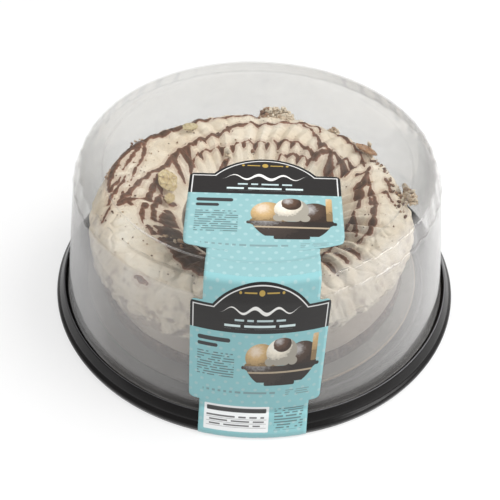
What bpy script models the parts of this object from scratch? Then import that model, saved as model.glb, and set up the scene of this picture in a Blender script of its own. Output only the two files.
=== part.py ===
"""Round ice cream cake in its shut retail pack: black tray, clear lid and wrap-over label.

The origin is at the middle of the pack's foot, +Z is up and the label faces -Y.
Azimuths are measured from the front (-Y) towards +X.
"""

import math
import random

import bmesh
import bpy
from mathutils import Matrix, Vector, noise

MM = 0.001
TOUCH_GAP = 0.3 * MM

# Tray: a black sheet formed into a floor, a ledge for the lid, a lip and a sloping skirt
TRAY_SHEET = 0.9 * MM
TRAY_FLOOR_RADIUS = 106.5 * MM
TRAY_FLOOR_HEIGHT = 10.3 * MM
LEDGE_INNER_RADIUS = 108.3 * MM
LEDGE_OUTER_RADIUS = 120.2 * MM
LEDGE_HEIGHT = 7.9 * MM
LIP_RADIUS = 121.4 * MM
LIP_HEIGHT = 11.8 * MM
GROOVE_RADIUS = 124.4 * MM
GROOVE_HEIGHT = 5.9 * MM
RIM_RADIUS = 127.0 * MM
RIM_HEIGHT = 2.8 * MM
FOOT_RADIUS = 126.3 * MM
TRAY_SEGMENTS = 52

# Lid: a clear sheet with a drafted wall, a fluted shoulder and a sunk top disc
LID_SHEET = 0.8 * MM
DISC_RADIUS = 88.0 * MM
DISC_HEIGHT = 95.9 * MM
RING_INNER_RADIUS = 89.4 * MM
RING_OUTER_RADIUS = 100.8 * MM
RIDGE_RADIUS = 102.4 * MM
LID_HEIGHT = 97.5 * MM
SHOULDER_RADIUS = 106.3 * MM
SHOULDER_HEIGHT = 86.4 * MM
WALL_FOOT_RADIUS = 117.1 * MM
WALL_FOOT_HEIGHT = 22.0 * MM
LID_FLANGE_RADIUS = 119.4 * MM
LID_FLANGE_HEIGHT = 9.3 * MM
FLUTES = 48
FLUTE_DEPTH = 1.0 * MM

# The cake sits a little to the left of the tray's middle
CAKE_PLACE = (-2.0 * MM, 0.0, 0.0)

# Cake board, crust and ice cream layer
BOARD_RADIUS = 104.5 * MM
BOARD_THICKNESS = 1.6 * MM
CRUST_RADIUS = 95.2 * MM
CRUST_THICKNESS = 7.7 * MM
ICE_CREAM_RADIUS = 93.4 * MM
ICE_CREAM_THICKNESS = 27.6 * MM
LAYER_EDGE = 0.9 * MM
LAYER_LUMP_WIDTH = 14.0 * MM
CRUST_UNEVEN = 1.2 * MM
ICE_CREAM_UNEVEN = 0.7 * MM
CAKE_SEGMENTS = 48

# Piped cream: one ring of twelve wide swirls, each with four ridges
RIDGES = 48
SWIRLS = 12
CREAM_COLUMNS = 2 * RIDGES
SWIRL_VALLEY = 1.3 * MM
SWIRL_SPREAD = 1.1 * MM
SWIRL_FADE = 10.0 * MM
CREAM_INNER_RADIUS = 44.0 * MM
CREAM_SHOULDER = 88.0 * MM
DRAPE_OUTER_RADIUS = 97.6 * MM
CREAM_BULGE = 2.2 * MM
CREAM_BULGE_AZIMUTH = math.radians(-118)
DRAPE_RIDGE = 1.6 * MM
DRAPE_INNER_RADIUS = 94.6 * MM
DRAPE_MEAN_HEIGHT = 37.5 * MM
DRAPE_SWING = 10.5 * MM
DRAPE_HIGH_AZIMUTH = math.radians(70)
DRAPE_TOP = 47.0 * MM

# Section of the cream from the inside out: radius, height and depth of the ridges
CREAM_SECTION = (
    (43.5 * MM, 50.8 * MM, 0.4 * MM),
    (49.0 * MM, 55.2 * MM, 2.6 * MM),
    (55.0 * MM, 60.0 * MM, 4.0 * MM),
    (61.5 * MM, 63.8 * MM, 4.4 * MM),
    (68.5 * MM, 66.2 * MM, 4.0 * MM),
    (75.5 * MM, 67.2 * MM, 3.0 * MM),
    (82.5 * MM, 66.8 * MM, 1.9 * MM),
    (88.5 * MM, 64.8 * MM, 1.5 * MM),
    (92.8 * MM, 61.0 * MM, 1.5 * MM),
    (95.6 * MM, 55.0 * MM, 1.2 * MM),
    (97.6 * MM, 51.0 * MM, 0.6 * MM),
)

PLAIN_RINGS = (43.5 * MM, 49.5 * MM, 62.8 * MM, 73.6 * MM, 84.8 * MM, 94.4 * MM, 97.6 * MM)

# Fudge drizzle: radius, amount and phase of the wander of each ring
DRIZZLE_RINGS = (
    (57.0 * MM, 1.2 * MM, 5.2),
    (68.2 * MM, 1.4 * MM, 3.7),
    (79.0 * MM, 1.6 * MM, 2.1),
    (90.4 * MM, 0.8 * MM, 0.4),
)
DRIZZLE_HALF_WIDTH = 1.7 * MM
DRIZZLE_RISE = 1.2 * MM
VALLEY_FILL = 0.3

# Chocolate chips on the cream: radius and azimuth in degrees
CHIP_PLACES = (
    (70, 186), (66, 178), (72, 181), (87, -104), (84, -112), (89, 104), (92, 96),
    (88, 112), (85, 87), (90, -138), (73, -160), (86, 150), (84, 30), (88, -30),
)
CHIP_SIZE = (3.4 * MM, 2.4 * MM, 1.8 * MM)

# Biscuit flakes: radius in mm, azimuth in degrees, half sizes in mm, turn in degrees
FLAKES = (
    (55, -106, (7.5, 9.0, 1.6), 20),
    (51, -93, (3.6, 5.2, 1.4), -15),
    (86, 124, (4.4, 9.0, 1.7), 25),
    (77, -146, (3.8, 5.8, 1.4), -20),
    (95, 98, (4.6, 6.4, 2.0), 10),
)
CLUMP = (89, 174, (6.0, 13.5, 5.2), 6)
CLUMP_DEPTH = 3.2 * MM
TOPPING_GAP = 0.4 * MM
CLEAR_REACH = 1.5 * MM
SLOPE_REACH = 5.0 * MM

# Fudge centre
FUDGE_RADIUS = 41.8 * MM
FUDGE_THICKNESS = 2.6 * MM
FUDGE_EDGE = 0.8 * MM
FUDGE_LUMP_HEIGHT = 1.3 * MM
FUDGE_LUMP_WIDTH = 8.0 * MM
FUDGE_COLUMNS = 30

# Label: one paper wrap with a panel on the lid, a neck, a panel on the wall and a tab
LABEL_SHEET = 0.3 * MM
LABEL_COLUMNS = 8
TOP_PANEL_HALF_WIDTH = 42.0 * MM
TOP_PANEL_START = 17.0 * MM
TOP_PANEL_END = 80.0 * MM
ARCH_HALF_WIDTH = 28.5 * MM
ARCH_START = 3.0 * MM
NECK_HALF_WIDTH = 29.5 * MM
FRONT_PANEL_HALF_WIDTH = 36.0 * MM
FRONT_PANEL_TOP = 85.6 * MM
FRONT_PANEL_BOTTOM = 19.0 * MM
TAB_HALF_WIDTH = 30.0 * MM
LABEL_CORNER = 3.0 * MM
LABEL_SHIFT_TOP = 4.2 * MM
LABEL_SHIFT_BOTTOM = 1.0 * MM
WRAP_START = 66.0 * MM
WRAP_END = 86.0 * MM

BOARD_BASE = TRAY_FLOOR_HEIGHT + TOUCH_GAP
CRUST_BASE = BOARD_BASE + BOARD_THICKNESS + TOUCH_GAP
ICE_CREAM_BASE = CRUST_BASE + CRUST_THICKNESS + TOUCH_GAP
CREAM_BASE = ICE_CREAM_BASE + ICE_CREAM_THICKNESS + TOUCH_GAP


def clear_scene():
    for obj in list(bpy.data.objects):
        bpy.data.objects.remove(obj)


def make_collection(name):
    collection = bpy.data.collections.new(name)
    bpy.context.scene.collection.children.link(collection)
    return collection


def make_material(name, colour, roughness, metallic=0.0, alpha=1.0):
    material = bpy.data.materials.new(name)
    material.use_nodes = True
    shader = material.node_tree.nodes["Principled BSDF"]
    shader.inputs["Base Color"].default_value = (*colour, 1.0)
    shader.inputs["Roughness"].default_value = roughness
    shader.inputs["Metallic"].default_value = metallic
    shader.inputs["Alpha"].default_value = alpha
    return material


def add_object(name, mesh, collection, material):
    obj = bpy.data.objects.new(name, mesh)
    obj.data.materials.append(material)
    collection.objects.link(obj)
    return obj


def turned_profile(name, points, segments, collection, material):
    """A profile in the XZ plane, swept round Z by a Screw modifier."""
    mesh = bpy.data.meshes.new(name)
    edges = [(i, i + 1) for i in range(len(points) - 1)]
    mesh.from_pydata([(radius, 0.0, height) for radius, height in points], edges, [])
    obj = add_object(name, mesh, collection, material)
    screw = obj.modifiers.new("Turn", "SCREW")
    screw.steps = segments
    screw.render_steps = segments
    screw.use_merge_vertices = True
    screw.merge_threshold = 0.00001
    return obj


def apply_modifiers(obj):
    graph = bpy.context.evaluated_depsgraph_get()
    mesh = bpy.data.meshes.new_from_object(obj.evaluated_get(graph))
    obj.modifiers.clear()
    obj.data = mesh


def polar(radius, azimuth, height):
    return Vector((radius * math.sin(azimuth), -radius * math.cos(azimuth), height))


def thicken(obj, thickness, offset):
    solidify = obj.modifiers.new("Sheet", "SOLIDIFY")
    solidify.thickness = thickness
    solidify.offset = offset
    solidify.use_even_offset = True


def smooth(obj, angle=math.radians(35)):
    obj.data.shade_smooth()
    obj.data.set_sharp_from_angle(angle=angle)


def make_tray(collection, material):
    profile = (
        (0.0, TRAY_FLOOR_HEIGHT),
        (TRAY_FLOOR_RADIUS, TRAY_FLOOR_HEIGHT),
        (LEDGE_INNER_RADIUS, LEDGE_HEIGHT),
        (LEDGE_OUTER_RADIUS, LEDGE_HEIGHT),
        (LIP_RADIUS - 0.9 * MM, LIP_HEIGHT - 0.5 * MM),
        (LIP_RADIUS, LIP_HEIGHT),
        (GROOVE_RADIUS, GROOVE_HEIGHT + 0.7 * MM),
        (GROOVE_RADIUS + 0.2 * MM, GROOVE_HEIGHT),
        (RIM_RADIUS - 0.5 * MM, RIM_HEIGHT + 1.5 * MM),
        (RIM_RADIUS, RIM_HEIGHT),
        (FOOT_RADIUS, 0.0),
    )
    tray = turned_profile("tray", profile, TRAY_SEGMENTS, collection, material)
    apply_modifiers(tray)
    thicken(tray, TRAY_SHEET, -1.0)
    smooth(tray)


def flute_amount(radius, height):
    """Share of the flute depth at a place: none on the wall and top, most in mid shoulder."""
    if height < SHOULDER_HEIGHT - MM or radius < RING_OUTER_RADIUS + MM:
        return 0.0
    middle = (SHOULDER_HEIGHT + LID_HEIGHT) / 2
    reach = (LID_HEIGHT - SHOULDER_HEIGHT) / 2 + 2.0 * MM
    return 1.0 - ((height - middle) / reach) ** 2


def make_lid(collection, material):
    profile = (
        (0.0, DISC_HEIGHT),
        (DISC_RADIUS, DISC_HEIGHT),
        (RING_INNER_RADIUS, LID_HEIGHT - 0.2 * MM),
        (RING_OUTER_RADIUS, LID_HEIGHT),
        (RIDGE_RADIUS, LID_HEIGHT - 1.0 * MM),
        ((RIDGE_RADIUS + SHOULDER_RADIUS) / 2, (LID_HEIGHT + SHOULDER_HEIGHT) / 2),
        (SHOULDER_RADIUS, SHOULDER_HEIGHT),
        (WALL_FOOT_RADIUS, WALL_FOOT_HEIGHT),
        (LID_FLANGE_RADIUS - 0.9 * MM, LID_FLANGE_HEIGHT + 0.2 * MM),
        (LID_FLANGE_RADIUS, LID_FLANGE_HEIGHT - 0.2 * MM),
    )
    lid = turned_profile("clear_lid", profile, CREAM_COLUMNS, collection, material)
    apply_modifiers(lid)
    for vertex in lid.data.vertices:
        x, y, z = vertex.co
        azimuth, radius = math.atan2(x, -y), math.hypot(x, y)
        share = flute_amount(radius, z) * (0.5 - 0.5 * math.cos(FLUTES * azimuth))
        if share > 0:
            vertex.co = polar(radius - FLUTE_DEPTH * share, azimuth, z)
    thicken(lid, LID_SHEET, -1.0)
    smooth(lid, math.radians(28))


def ring_solid(name, rings, columns, point, collection, material, closed):
    """A solid of rings of points; a closed one is a loop, else its ends are capped at poles."""
    bm = bmesh.new()
    grid = [[bm.verts.new(point(i, j)) for j in range(columns)] for i in range(rings)]
    last = rings if closed else rings - 1
    for i in range(last):
        inner, outer = grid[i], grid[(i + 1) % rings]
        for j in range(columns):
            k = (j + 1) % columns
            bm.faces.new((inner[j], outer[j], outer[k], inner[k]))
    if not closed:
        for ring in (grid[0], grid[-1]):
            middle = sum((v.co for v in ring), Vector()) / columns
            pole = bm.verts.new(middle)
            for j in range(columns):
                bm.faces.new((pole, ring[j], ring[(j + 1) % columns]))
    bmesh.ops.recalc_face_normals(bm, faces=bm.faces)
    mesh = bpy.data.meshes.new(name)
    bm.to_mesh(mesh)
    bm.free()
    return add_object(name, mesh, collection, material)


def uneven(x, y, z, scale):
    return noise.noise(Vector((x, y, z)) / scale)


def make_layer(name, base, thickness, radius, unevenness, collection, material):
    """A cake layer: a low drum with soft edges and an uneven side."""
    rings = (
        (radius - LAYER_EDGE, base),
        (radius, base + LAYER_EDGE),
        (radius, base + thickness / 2),
        (radius, base + thickness - LAYER_EDGE),
        (radius - LAYER_EDGE, base + thickness),
    )

    def point(i, j):
        azimuth = 2 * math.pi * j / CAKE_SEGMENTS
        place = polar(rings[i][0], azimuth, rings[i][1])
        push = unevenness * uneven(*place, LAYER_LUMP_WIDTH)
        return polar(rings[i][0] + push, azimuth, rings[i][1])

    layer = ring_solid(name, len(rings), CAKE_SEGMENTS, point, collection, material, False)
    smooth(layer)


def make_board(collection, material):
    top = BOARD_BASE + BOARD_THICKNESS
    profile = ((0.0, top), (BOARD_RADIUS, top), (BOARD_RADIUS, BOARD_BASE), (0.0, BOARD_BASE))
    board = turned_profile("cake_board", profile, TRAY_SEGMENTS, collection, material)
    smooth(board)


def swirl_heights():
    draw = random.Random(12)
    swirls = [draw.uniform(-1, 1) * SWIRL_SPREAD for _ in range(SWIRLS)]
    ridges = [draw.uniform(0.3, 1.0) for _ in range(RIDGES)]
    return swirls, ridges


SWIRL_RISE, RIDGE_SHARE = swirl_heights()


def swirl_relief(azimuth):
    """Height change that the wide swirls give at an azimuth."""
    turn = (azimuth / (2 * math.pi)) % 1.0 * SWIRLS
    index = int(turn)
    along = turn - index
    blend = 0.5 - 0.5 * math.cos(math.pi * along)
    rise = SWIRL_RISE[index] * (1 - blend) + SWIRL_RISE[(index + 1) % SWIRLS] * blend
    valley = abs(math.cos(math.pi * (along - 0.5))) ** 0.6
    return rise - SWIRL_VALLEY * (1 - valley)


def ridge_share(azimuth):
    """Share of the ridge depth that is cut away at an azimuth: 0 on a crest, 1 in a valley."""
    turn = azimuth / (2 * math.pi) * RIDGES
    valley = round(turn)
    return RIDGE_SHARE[valley % RIDGES] * max(0.0, 1 - 2 * abs(turn - valley))


def cream_height(radius, azimuth, fill=0.0):
    """Height of the top of the cream, with its valleys filled up by a share."""
    section = CREAM_SECTION
    radius = min(max(radius, section[0][0]), section[-1][0])
    for low, high in zip(section, section[1:]):
        if radius <= high[0]:
            break
    share = (radius - low[0]) / (high[0] - low[0])
    height = low[1] + share * (high[1] - low[1])
    depth = low[2] + share * (high[2] - low[2])
    inside = min(1.0, (radius - section[0][0]) / SWIRL_FADE)
    outside = min(1.0, (section[-1][0] - radius) / SWIRL_FADE)
    cut = depth * ridge_share(azimuth)
    return height - (1 - fill) * cut + min(inside, outside) * swirl_relief(azimuth)


def drape_height(azimuth):
    """Lower edge of the cream on the side of the cake: low at the left, high at the right."""
    ripple = 1.6 * MM * math.sin(11 * azimuth) + 1.1 * MM * math.sin(17 * azimuth + 1.0)
    swing = DRAPE_SWING * math.cos(azimuth - DRAPE_HIGH_AZIMUTH)
    return min(DRAPE_TOP, DRAPE_MEAN_HEIGHT + swing + ripple)


def drizzle_radius(ring, azimuth):
    radius, wander, phase = ring
    return radius + wander * math.sin(2 * azimuth + phase) + 0.4 * wander * math.sin(5 * azimuth)


def rim_push(azimuth):
    """How far the side of the cream stands out: a wide bulge at the left, less the ridges."""
    bulge = max(0.0, math.cos(azimuth - CREAM_BULGE_AZIMUTH))
    return CREAM_BULGE * bulge - DRAPE_RIDGE * ridge_share(azimuth)


def cream_rings():
    """Rings over the top of the cream: a drizzle or None, offset or radius, and rise."""
    rings = [(None, radius, 0.0) for radius in PLAIN_RINGS]
    for ring in DRIZZLE_RINGS:
        rings.append((ring, -DRIZZLE_HALF_WIDTH, 0.0))
        rings.append((ring, 0.0, DRIZZLE_RISE))
        rings.append((ring, DRIZZLE_HALF_WIDTH, 0.0))
    return sorted(rings, key=lambda ring: (ring[0][0] if ring[0] else 0.0) + ring[1])


TOP_RINGS = cream_rings()


def cream_point(i, j):
    azimuth = 2 * math.pi * j / CREAM_COLUMNS
    count = len(TOP_RINGS)
    if i < count:
        drizzle, radius, rise = TOP_RINGS[i]
        if drizzle:
            radius += drizzle_radius(drizzle, azimuth)
        fill = VALLEY_FILL if rise else 0.0
        height = cream_height(radius, azimuth, fill) + rise
        edge = max(0.0, (radius - CREAM_SHOULDER) / (DRAPE_OUTER_RADIUS - CREAM_SHOULDER))
        return polar(radius + edge * rim_push(azimuth), azimuth, height)
    low = drape_height(azimuth)
    bulge = 0.5 * MM * math.sin(9 * azimuth + 0.7) + rim_push(azimuth)
    edge = cream_height(CREAM_SECTION[-1][0], azimuth)
    side = (
        (DRAPE_OUTER_RADIUS + bulge, edge + 0.4 * (low - edge)),
        (DRAPE_OUTER_RADIUS + 0.6 * bulge, low + 1.2 * MM),
        (DRAPE_INNER_RADIUS + 0.5 * MM, low),
        (DRAPE_INNER_RADIUS, low + 0.6 * MM),
        (DRAPE_INNER_RADIUS, CREAM_BASE),
        (CREAM_INNER_RADIUS, CREAM_BASE),
    )
    radius, height = side[i - count]
    return polar(radius, azimuth, height)


def make_chip(index, place, collection, material):
    radius, degrees = place
    azimuth = math.radians(degrees)
    bm = bmesh.new()
    bmesh.ops.create_cube(bm, size=1.0)
    bmesh.ops.scale(bm, vec=CHIP_SIZE, verts=bm.verts)
    turn = Matrix.Rotation(2.4 * index, 4, "Z") @ Matrix.Rotation(0.35, 4, "X")
    bmesh.ops.transform(bm, matrix=turn, verts=bm.verts)
    height = cream_height(radius * MM, azimuth) + 0.2 * MM
    bmesh.ops.translate(bm, vec=polar(radius * MM, azimuth, height), verts=bm.verts)
    mesh = bpy.data.meshes.new("chip_%d" % index)
    bm.to_mesh(mesh)
    bm.free()
    return add_object(mesh.name, mesh, collection, material)


def make_cream(collection, cream_material, fudge_material):
    """The cream ring with the drizzle that lies in it, and its chips, joined by one union."""
    rings = len(TOP_RINGS) + 6
    cream = ring_solid(
        "cream_ring", rings, CREAM_COLUMNS, cream_point, collection, cream_material, True
    )
    cream.data.materials.append(fudge_material)
    for face in cream.data.polygons:
        ring = face.index // CREAM_COLUMNS
        pair = TOP_RINGS[ring : ring + 2]
        if any(rise > 0 for _, _, rise in pair):
            face.material_index = 1
    toppings = make_collection("cream toppings")
    for index, place in enumerate(CHIP_PLACES):
        make_chip(index, place, toppings, fudge_material)
    union = cream.modifiers.new("Toppings", "BOOLEAN")
    union.operation = "UNION"
    union.operand_type = "COLLECTION"
    union.collection = toppings
    union.solver = "EXACT"
    union.material_mode = "TRANSFER"
    apply_modifiers(cream)
    for obj in list(toppings.objects):
        bpy.data.objects.remove(obj)
    bpy.data.collections.remove(toppings)
    smooth(cream, math.radians(40))


def topping_height(x, y):
    """Height of the cream with its drizzle under a place."""
    radius, azimuth = math.hypot(x, y), math.atan2(x, -y)
    height = cream_height(radius, azimuth)
    for ring in DRIZZLE_RINGS:
        if abs(radius - drizzle_radius(ring, azimuth)) < DRIZZLE_HALF_WIDTH + MM:
            height += DRIZZLE_RISE
            break
    return height


def rough_lump(name, half_sizes, seed, subdivisions, collection, material):
    """An uneven lump from a ball that is flattened and dented."""
    draw = random.Random(seed)
    bm = bmesh.new()
    bmesh.ops.create_icosphere(bm, subdivisions=subdivisions, radius=1.0)
    for vertex in bm.verts:
        x, y, z = vertex.co
        squared = max(abs(x), abs(y), 0.75) ** 0.35
        dent = draw.uniform(0.84, 1.0) / squared
        sizes = [half * MM * dent for half in half_sizes]
        vertex.co = (x * sizes[0], y * sizes[1], z * sizes[2])
    mesh = bpy.data.meshes.new(name)
    bm.to_mesh(mesh)
    bm.free()
    return add_object(name, mesh, collection, material)


def clear_height(x, y):
    """Height that is clear of the cream and its drizzle all round a place."""
    azimuth, radius = math.atan2(x, -y), math.hypot(x, y)
    near = [
        topping_height(*polar(radius + step, azimuth + turn, 0.0).xy)
        for step in (-CLEAR_REACH, 0.0, CLEAR_REACH)
        for turn in (-CLEAR_REACH / radius, 0.0, CLEAR_REACH / radius)
    ]
    return max(near) + TOPPING_GAP


def lay_on_cream(obj, radius, degrees, turn):
    """Tilts a piece to the slope of the cream and sets it down just clear of it."""
    azimuth = math.radians(degrees)
    inner, outer = cream_height(radius - SLOPE_REACH, 0), cream_height(radius + SLOPE_REACH, 0)
    slope = math.atan2(outer - inner, 2 * SLOPE_REACH)
    matrix = (
        Matrix.Translation(polar(radius, azimuth, 0.0))
        @ Matrix.Rotation(azimuth - math.pi / 2, 4, "Z")
        @ Matrix.Rotation(-slope, 4, "Y")
        @ Matrix.Rotation(math.radians(turn), 4, "Z")
    )
    obj.data.transform(matrix)
    lift = max(clear_height(v.co.x, v.co.y) - v.co.z for v in obj.data.vertices)
    obj.data.transform(Matrix.Translation((0.0, 0.0, lift)))


def make_flakes(collection, material):
    for index, (radius, degrees, half_sizes, turn) in enumerate(FLAKES, 1):
        name = "biscuit_flake_%d" % index
        flake = rough_lump(name, half_sizes, index, 2, collection, material)
        lay_on_cream(flake, radius * MM, degrees, turn)
        smooth(flake)


def settle_into_cream(obj, depth):
    """Lowers a soft lump and presses its underside to the shape of the cream."""
    for vertex in obj.data.vertices:
        x, y, z = vertex.co
        vertex.co.z = max(z - depth, clear_height(x, y))


def make_clump(collection, material):
    radius, degrees, half_sizes, turn = CLUMP
    clump = rough_lump("crumb_clump", half_sizes, 9, 2, collection, material)
    lay_on_cream(clump, radius * MM, degrees, turn)
    settle_into_cream(clump, CLUMP_DEPTH)
    smooth(clump)


def make_fudge(collection, material):
    """Fudge and broken biscuit that fill the middle, with a lumpy top."""
    top = CREAM_BASE + FUDGE_THICKNESS
    shares = (1.0, 1.0, 0.86, 0.68, 0.5, 0.32, 0.15)

    def point(i, j):
        azimuth = 2 * math.pi * j / FUDGE_COLUMNS
        radius = FUDGE_RADIUS * shares[i]
        if i == 0:
            return polar(radius, azimuth, CREAM_BASE)
        place = polar(radius, azimuth, 0.0)
        edge = FUDGE_EDGE if i == 1 else 0.0
        lump = FUDGE_LUMP_HEIGHT * uneven(*place, FUDGE_LUMP_WIDTH)
        return polar(radius, azimuth, top - edge + lump)

    fudge = ring_solid(
        "fudge_centre", len(shares), FUDGE_COLUMNS, point, collection, material, False
    )
    smooth(fudge)


def label_path():
    """The line that the label follows from the middle of the lid to the foot: radius, height."""
    out = TOUCH_GAP + 0.05 * MM
    return (
        (0.0, DISC_HEIGHT + out),
        (DISC_RADIUS - 1.0 * MM, DISC_HEIGHT + out),
        (RING_INNER_RADIUS, LID_HEIGHT + out),
        (RING_OUTER_RADIUS + 0.3 * MM, LID_HEIGHT + out),
        (RIDGE_RADIUS + 0.5 * MM, LID_HEIGHT - 0.6 * MM),
        (SHOULDER_RADIUS + 0.5 * MM, SHOULDER_HEIGHT + 0.1 * MM),
        (WALL_FOOT_RADIUS + 0.4 * MM, WALL_FOOT_HEIGHT),
        (LID_FLANGE_RADIUS - 0.4 * MM, LIP_HEIGHT + 1.4 * MM),
        (LIP_RADIUS + 0.1 * MM, LIP_HEIGHT + 0.4 * MM),
        (GROOVE_RADIUS + 0.8 * MM, GROOVE_HEIGHT + 0.6 * MM),
        (RIM_RADIUS + 0.1 * MM, RIM_HEIGHT + 1.5 * MM),
        (RIM_RADIUS + 0.4 * MM, RIM_HEIGHT),
        (FOOT_RADIUS + 0.5 * MM, 0.6 * MM),
    )


def path_lengths(path):
    lengths = [0.0]
    for (r0, z0), (r1, z1) in zip(path, path[1:]):
        lengths.append(lengths[-1] + math.hypot(r1 - r0, z1 - z0))
    return lengths


def path_place(path, lengths, distance):
    for i in range(len(path) - 1):
        if distance <= lengths[i + 1] or i == len(path) - 2:
            share = (distance - lengths[i]) / (lengths[i + 1] - lengths[i])
            return (
                path[i][0] + share * (path[i + 1][0] - path[i][0]),
                path[i][1] + share * (path[i + 1][1] - path[i][1]),
            )


def path_height(path, radius):
    """Height of the path over the top of the lid at a radius."""
    for (r0, z0), (r1, z1) in zip(path, path[1:5]):
        if radius <= r1:
            return z0 + (z1 - z0) * (radius - r0) / (r1 - r0)
    return path[4][1]


def wall_distance(path, lengths, height):
    """Distance along the path at which the wall of the lid reaches a height."""
    top, foot = path[5], path[6]
    share = (top[1] - height) / (top[1] - foot[1])
    return lengths[5] + share * (lengths[6] - lengths[5])


def label_rows(path, lengths):
    """Rows of the label as pairs of distance along the path and half width."""
    rows = []
    rise = TOP_PANEL_START - ARCH_START
    sphere = (ARCH_HALF_WIDTH**2 + rise**2) / (2 * rise)
    for step in range(1, 7):
        drop = rise * (step / 6) ** 1.6
        rows.append((ARCH_START + drop, math.sqrt(max(0.0, 2 * sphere * drop - drop * drop))))
    c = LABEL_CORNER
    wide, neck = TOP_PANEL_HALF_WIDTH, NECK_HALF_WIDTH
    rows += [(TOP_PANEL_START + 0.05 * c, wide - c), (TOP_PANEL_START + 0.35 * c, wide - 0.3 * c)]
    rows += [(TOP_PANEL_START + 1.05 * c, wide)]
    rows += [(TOP_PANEL_END - 2 * c, wide), (TOP_PANEL_END - c, wide - 0.3 * c)]
    rows += [(TOP_PANEL_END - 0.4 * c, wide - c), (TOP_PANEL_END - 0.2 * c, neck)]
    rows += [(distance, neck) for distance in lengths[1:6]]
    top = wall_distance(path, lengths, FRONT_PANEL_TOP)
    bottom = wall_distance(path, lengths, FRONT_PANEL_BOTTOM + 4 * c)
    front, tab = FRONT_PANEL_HALF_WIDTH, TAB_HALF_WIDTH
    rows += [(top, neck + 1.0 * MM), (top + 0.3 * c, front - 0.3 * c), (top + c, front)]
    rows += [((top + bottom) / 2, front), (bottom, front)]
    foot = bottom + 4 * c
    rows += [(foot - c, front), (foot - 0.3 * c, front - 0.3 * c), (foot, tab)]
    rows += [(distance, tab) for distance in lengths[7:]]
    return sorted(rows)


def make_label(collection, material):
    """The paper wrap: flat on the lid's disc, then bent round the ridge, wall, lip and skirt."""
    path = label_path()
    lengths = path_lengths(path)
    rows = label_rows(path, lengths)
    total = lengths[-1]
    bm = bmesh.new()
    grid = []
    for distance, half_width in rows:
        radius, height = path_place(path, lengths, distance)
        down = min(1.0, max(0.0, (distance - lengths[4]) / (total - lengths[4])))
        shift = LABEL_SHIFT_TOP + down * (LABEL_SHIFT_BOTTOM - LABEL_SHIFT_TOP)
        wrap = min(1.0, max(0.0, (distance - WRAP_START) / (WRAP_END - WRAP_START))) ** 1.5
        line = []
        for j in range(LABEL_COLUMNS + 1):
            across = shift + half_width * (2 * j / LABEL_COLUMNS - 1)
            place = Vector((across, -radius, height))
            if wrap > 0:
                place = place.lerp(polar(radius, across / radius, height), wrap)
            if wrap < 1:
                place.z = path_height(path, math.hypot(place.x, place.y))
            line.append(bm.verts.new(place))
        grid.append(line)
    for upper, lower in zip(grid, grid[1:]):
        for j in range(LABEL_COLUMNS):
            bm.faces.new((upper[j], lower[j], lower[j + 1], upper[j + 1]))
    mesh = bpy.data.meshes.new("label")
    bm.to_mesh(mesh)
    bm.free()
    label = add_object("label", mesh, collection, material)
    thicken(label, LABEL_SHEET, 1.0)
    smooth(label)


def place_cake(collection):
    for obj in collection.objects:
        if obj.name not in ("tray", "clear_lid", "label"):
            obj.location = CAKE_PLACE


def main():
    clear_scene()
    parts = make_collection("ice cream cake pack")
    black = make_material("black formed plastic", (0.010, 0.009, 0.009), 0.25)
    clear = make_material("clear formed plastic", (0.90, 0.90, 0.89), 0.08, alpha=0.25)
    board = make_material("laminated board", (0.16, 0.15, 0.13), 0.6)
    crust = make_material("chocolate biscuit crust", (0.045, 0.027, 0.018), 0.85)
    ice_cream = make_material("ice cream", (0.55, 0.46, 0.37), 0.5)
    cream = make_material("piped cream", (0.78, 0.69, 0.56), 0.45)
    fudge = make_material("fudge", (0.055, 0.028, 0.018), 0.3)
    biscuit = make_material("biscuit", (0.52, 0.38, 0.20), 0.8)
    paper = make_material("label paper", (0.36, 0.64, 0.66), 0.35)

    make_tray(parts, black)
    make_board(parts, board)
    make_layer(
        "biscuit_crust", CRUST_BASE, CRUST_THICKNESS, CRUST_RADIUS, CRUST_UNEVEN, parts, crust
    )
    make_layer(
        "ice_cream_layer", ICE_CREAM_BASE, ICE_CREAM_THICKNESS, ICE_CREAM_RADIUS,
        ICE_CREAM_UNEVEN, parts, ice_cream,
    )
    make_cream(parts, cream, fudge)
    make_fudge(parts, fudge)
    make_flakes(parts, biscuit)
    make_clump(parts, biscuit)
    make_lid(parts, clear)
    make_label(parts, paper)
    place_cake(parts)


main()
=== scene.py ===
import math
import random

import bmesh
import bpy
import numpy as np
from mathutils import Matrix, Vector, noise


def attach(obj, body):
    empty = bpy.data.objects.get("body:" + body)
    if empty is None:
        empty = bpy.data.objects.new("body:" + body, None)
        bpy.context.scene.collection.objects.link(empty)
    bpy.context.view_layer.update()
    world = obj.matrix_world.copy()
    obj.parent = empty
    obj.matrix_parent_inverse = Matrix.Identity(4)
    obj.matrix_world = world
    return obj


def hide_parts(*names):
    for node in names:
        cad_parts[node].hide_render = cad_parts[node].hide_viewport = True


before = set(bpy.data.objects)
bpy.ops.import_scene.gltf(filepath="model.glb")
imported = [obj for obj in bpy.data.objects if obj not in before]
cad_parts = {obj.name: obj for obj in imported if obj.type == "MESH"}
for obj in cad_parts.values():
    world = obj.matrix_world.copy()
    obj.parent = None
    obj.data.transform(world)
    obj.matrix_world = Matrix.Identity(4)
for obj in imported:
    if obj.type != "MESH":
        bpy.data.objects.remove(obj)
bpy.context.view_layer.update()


# Studio. A pale floor under a soft white sky, a wide lamp high on either side, and a long one low
# at the right, whose light runs along the ridge of the lid. The camera looks down on the label's
# side as the photograph does.
CAMERA_DISTANCE = 0.5568
CAMERA_ELEVATION = math.radians(45.16)
CAMERA_ROLL = math.radians(1.7)

scene = bpy.context.scene
scene.view_settings.view_transform = "Standard"

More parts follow.
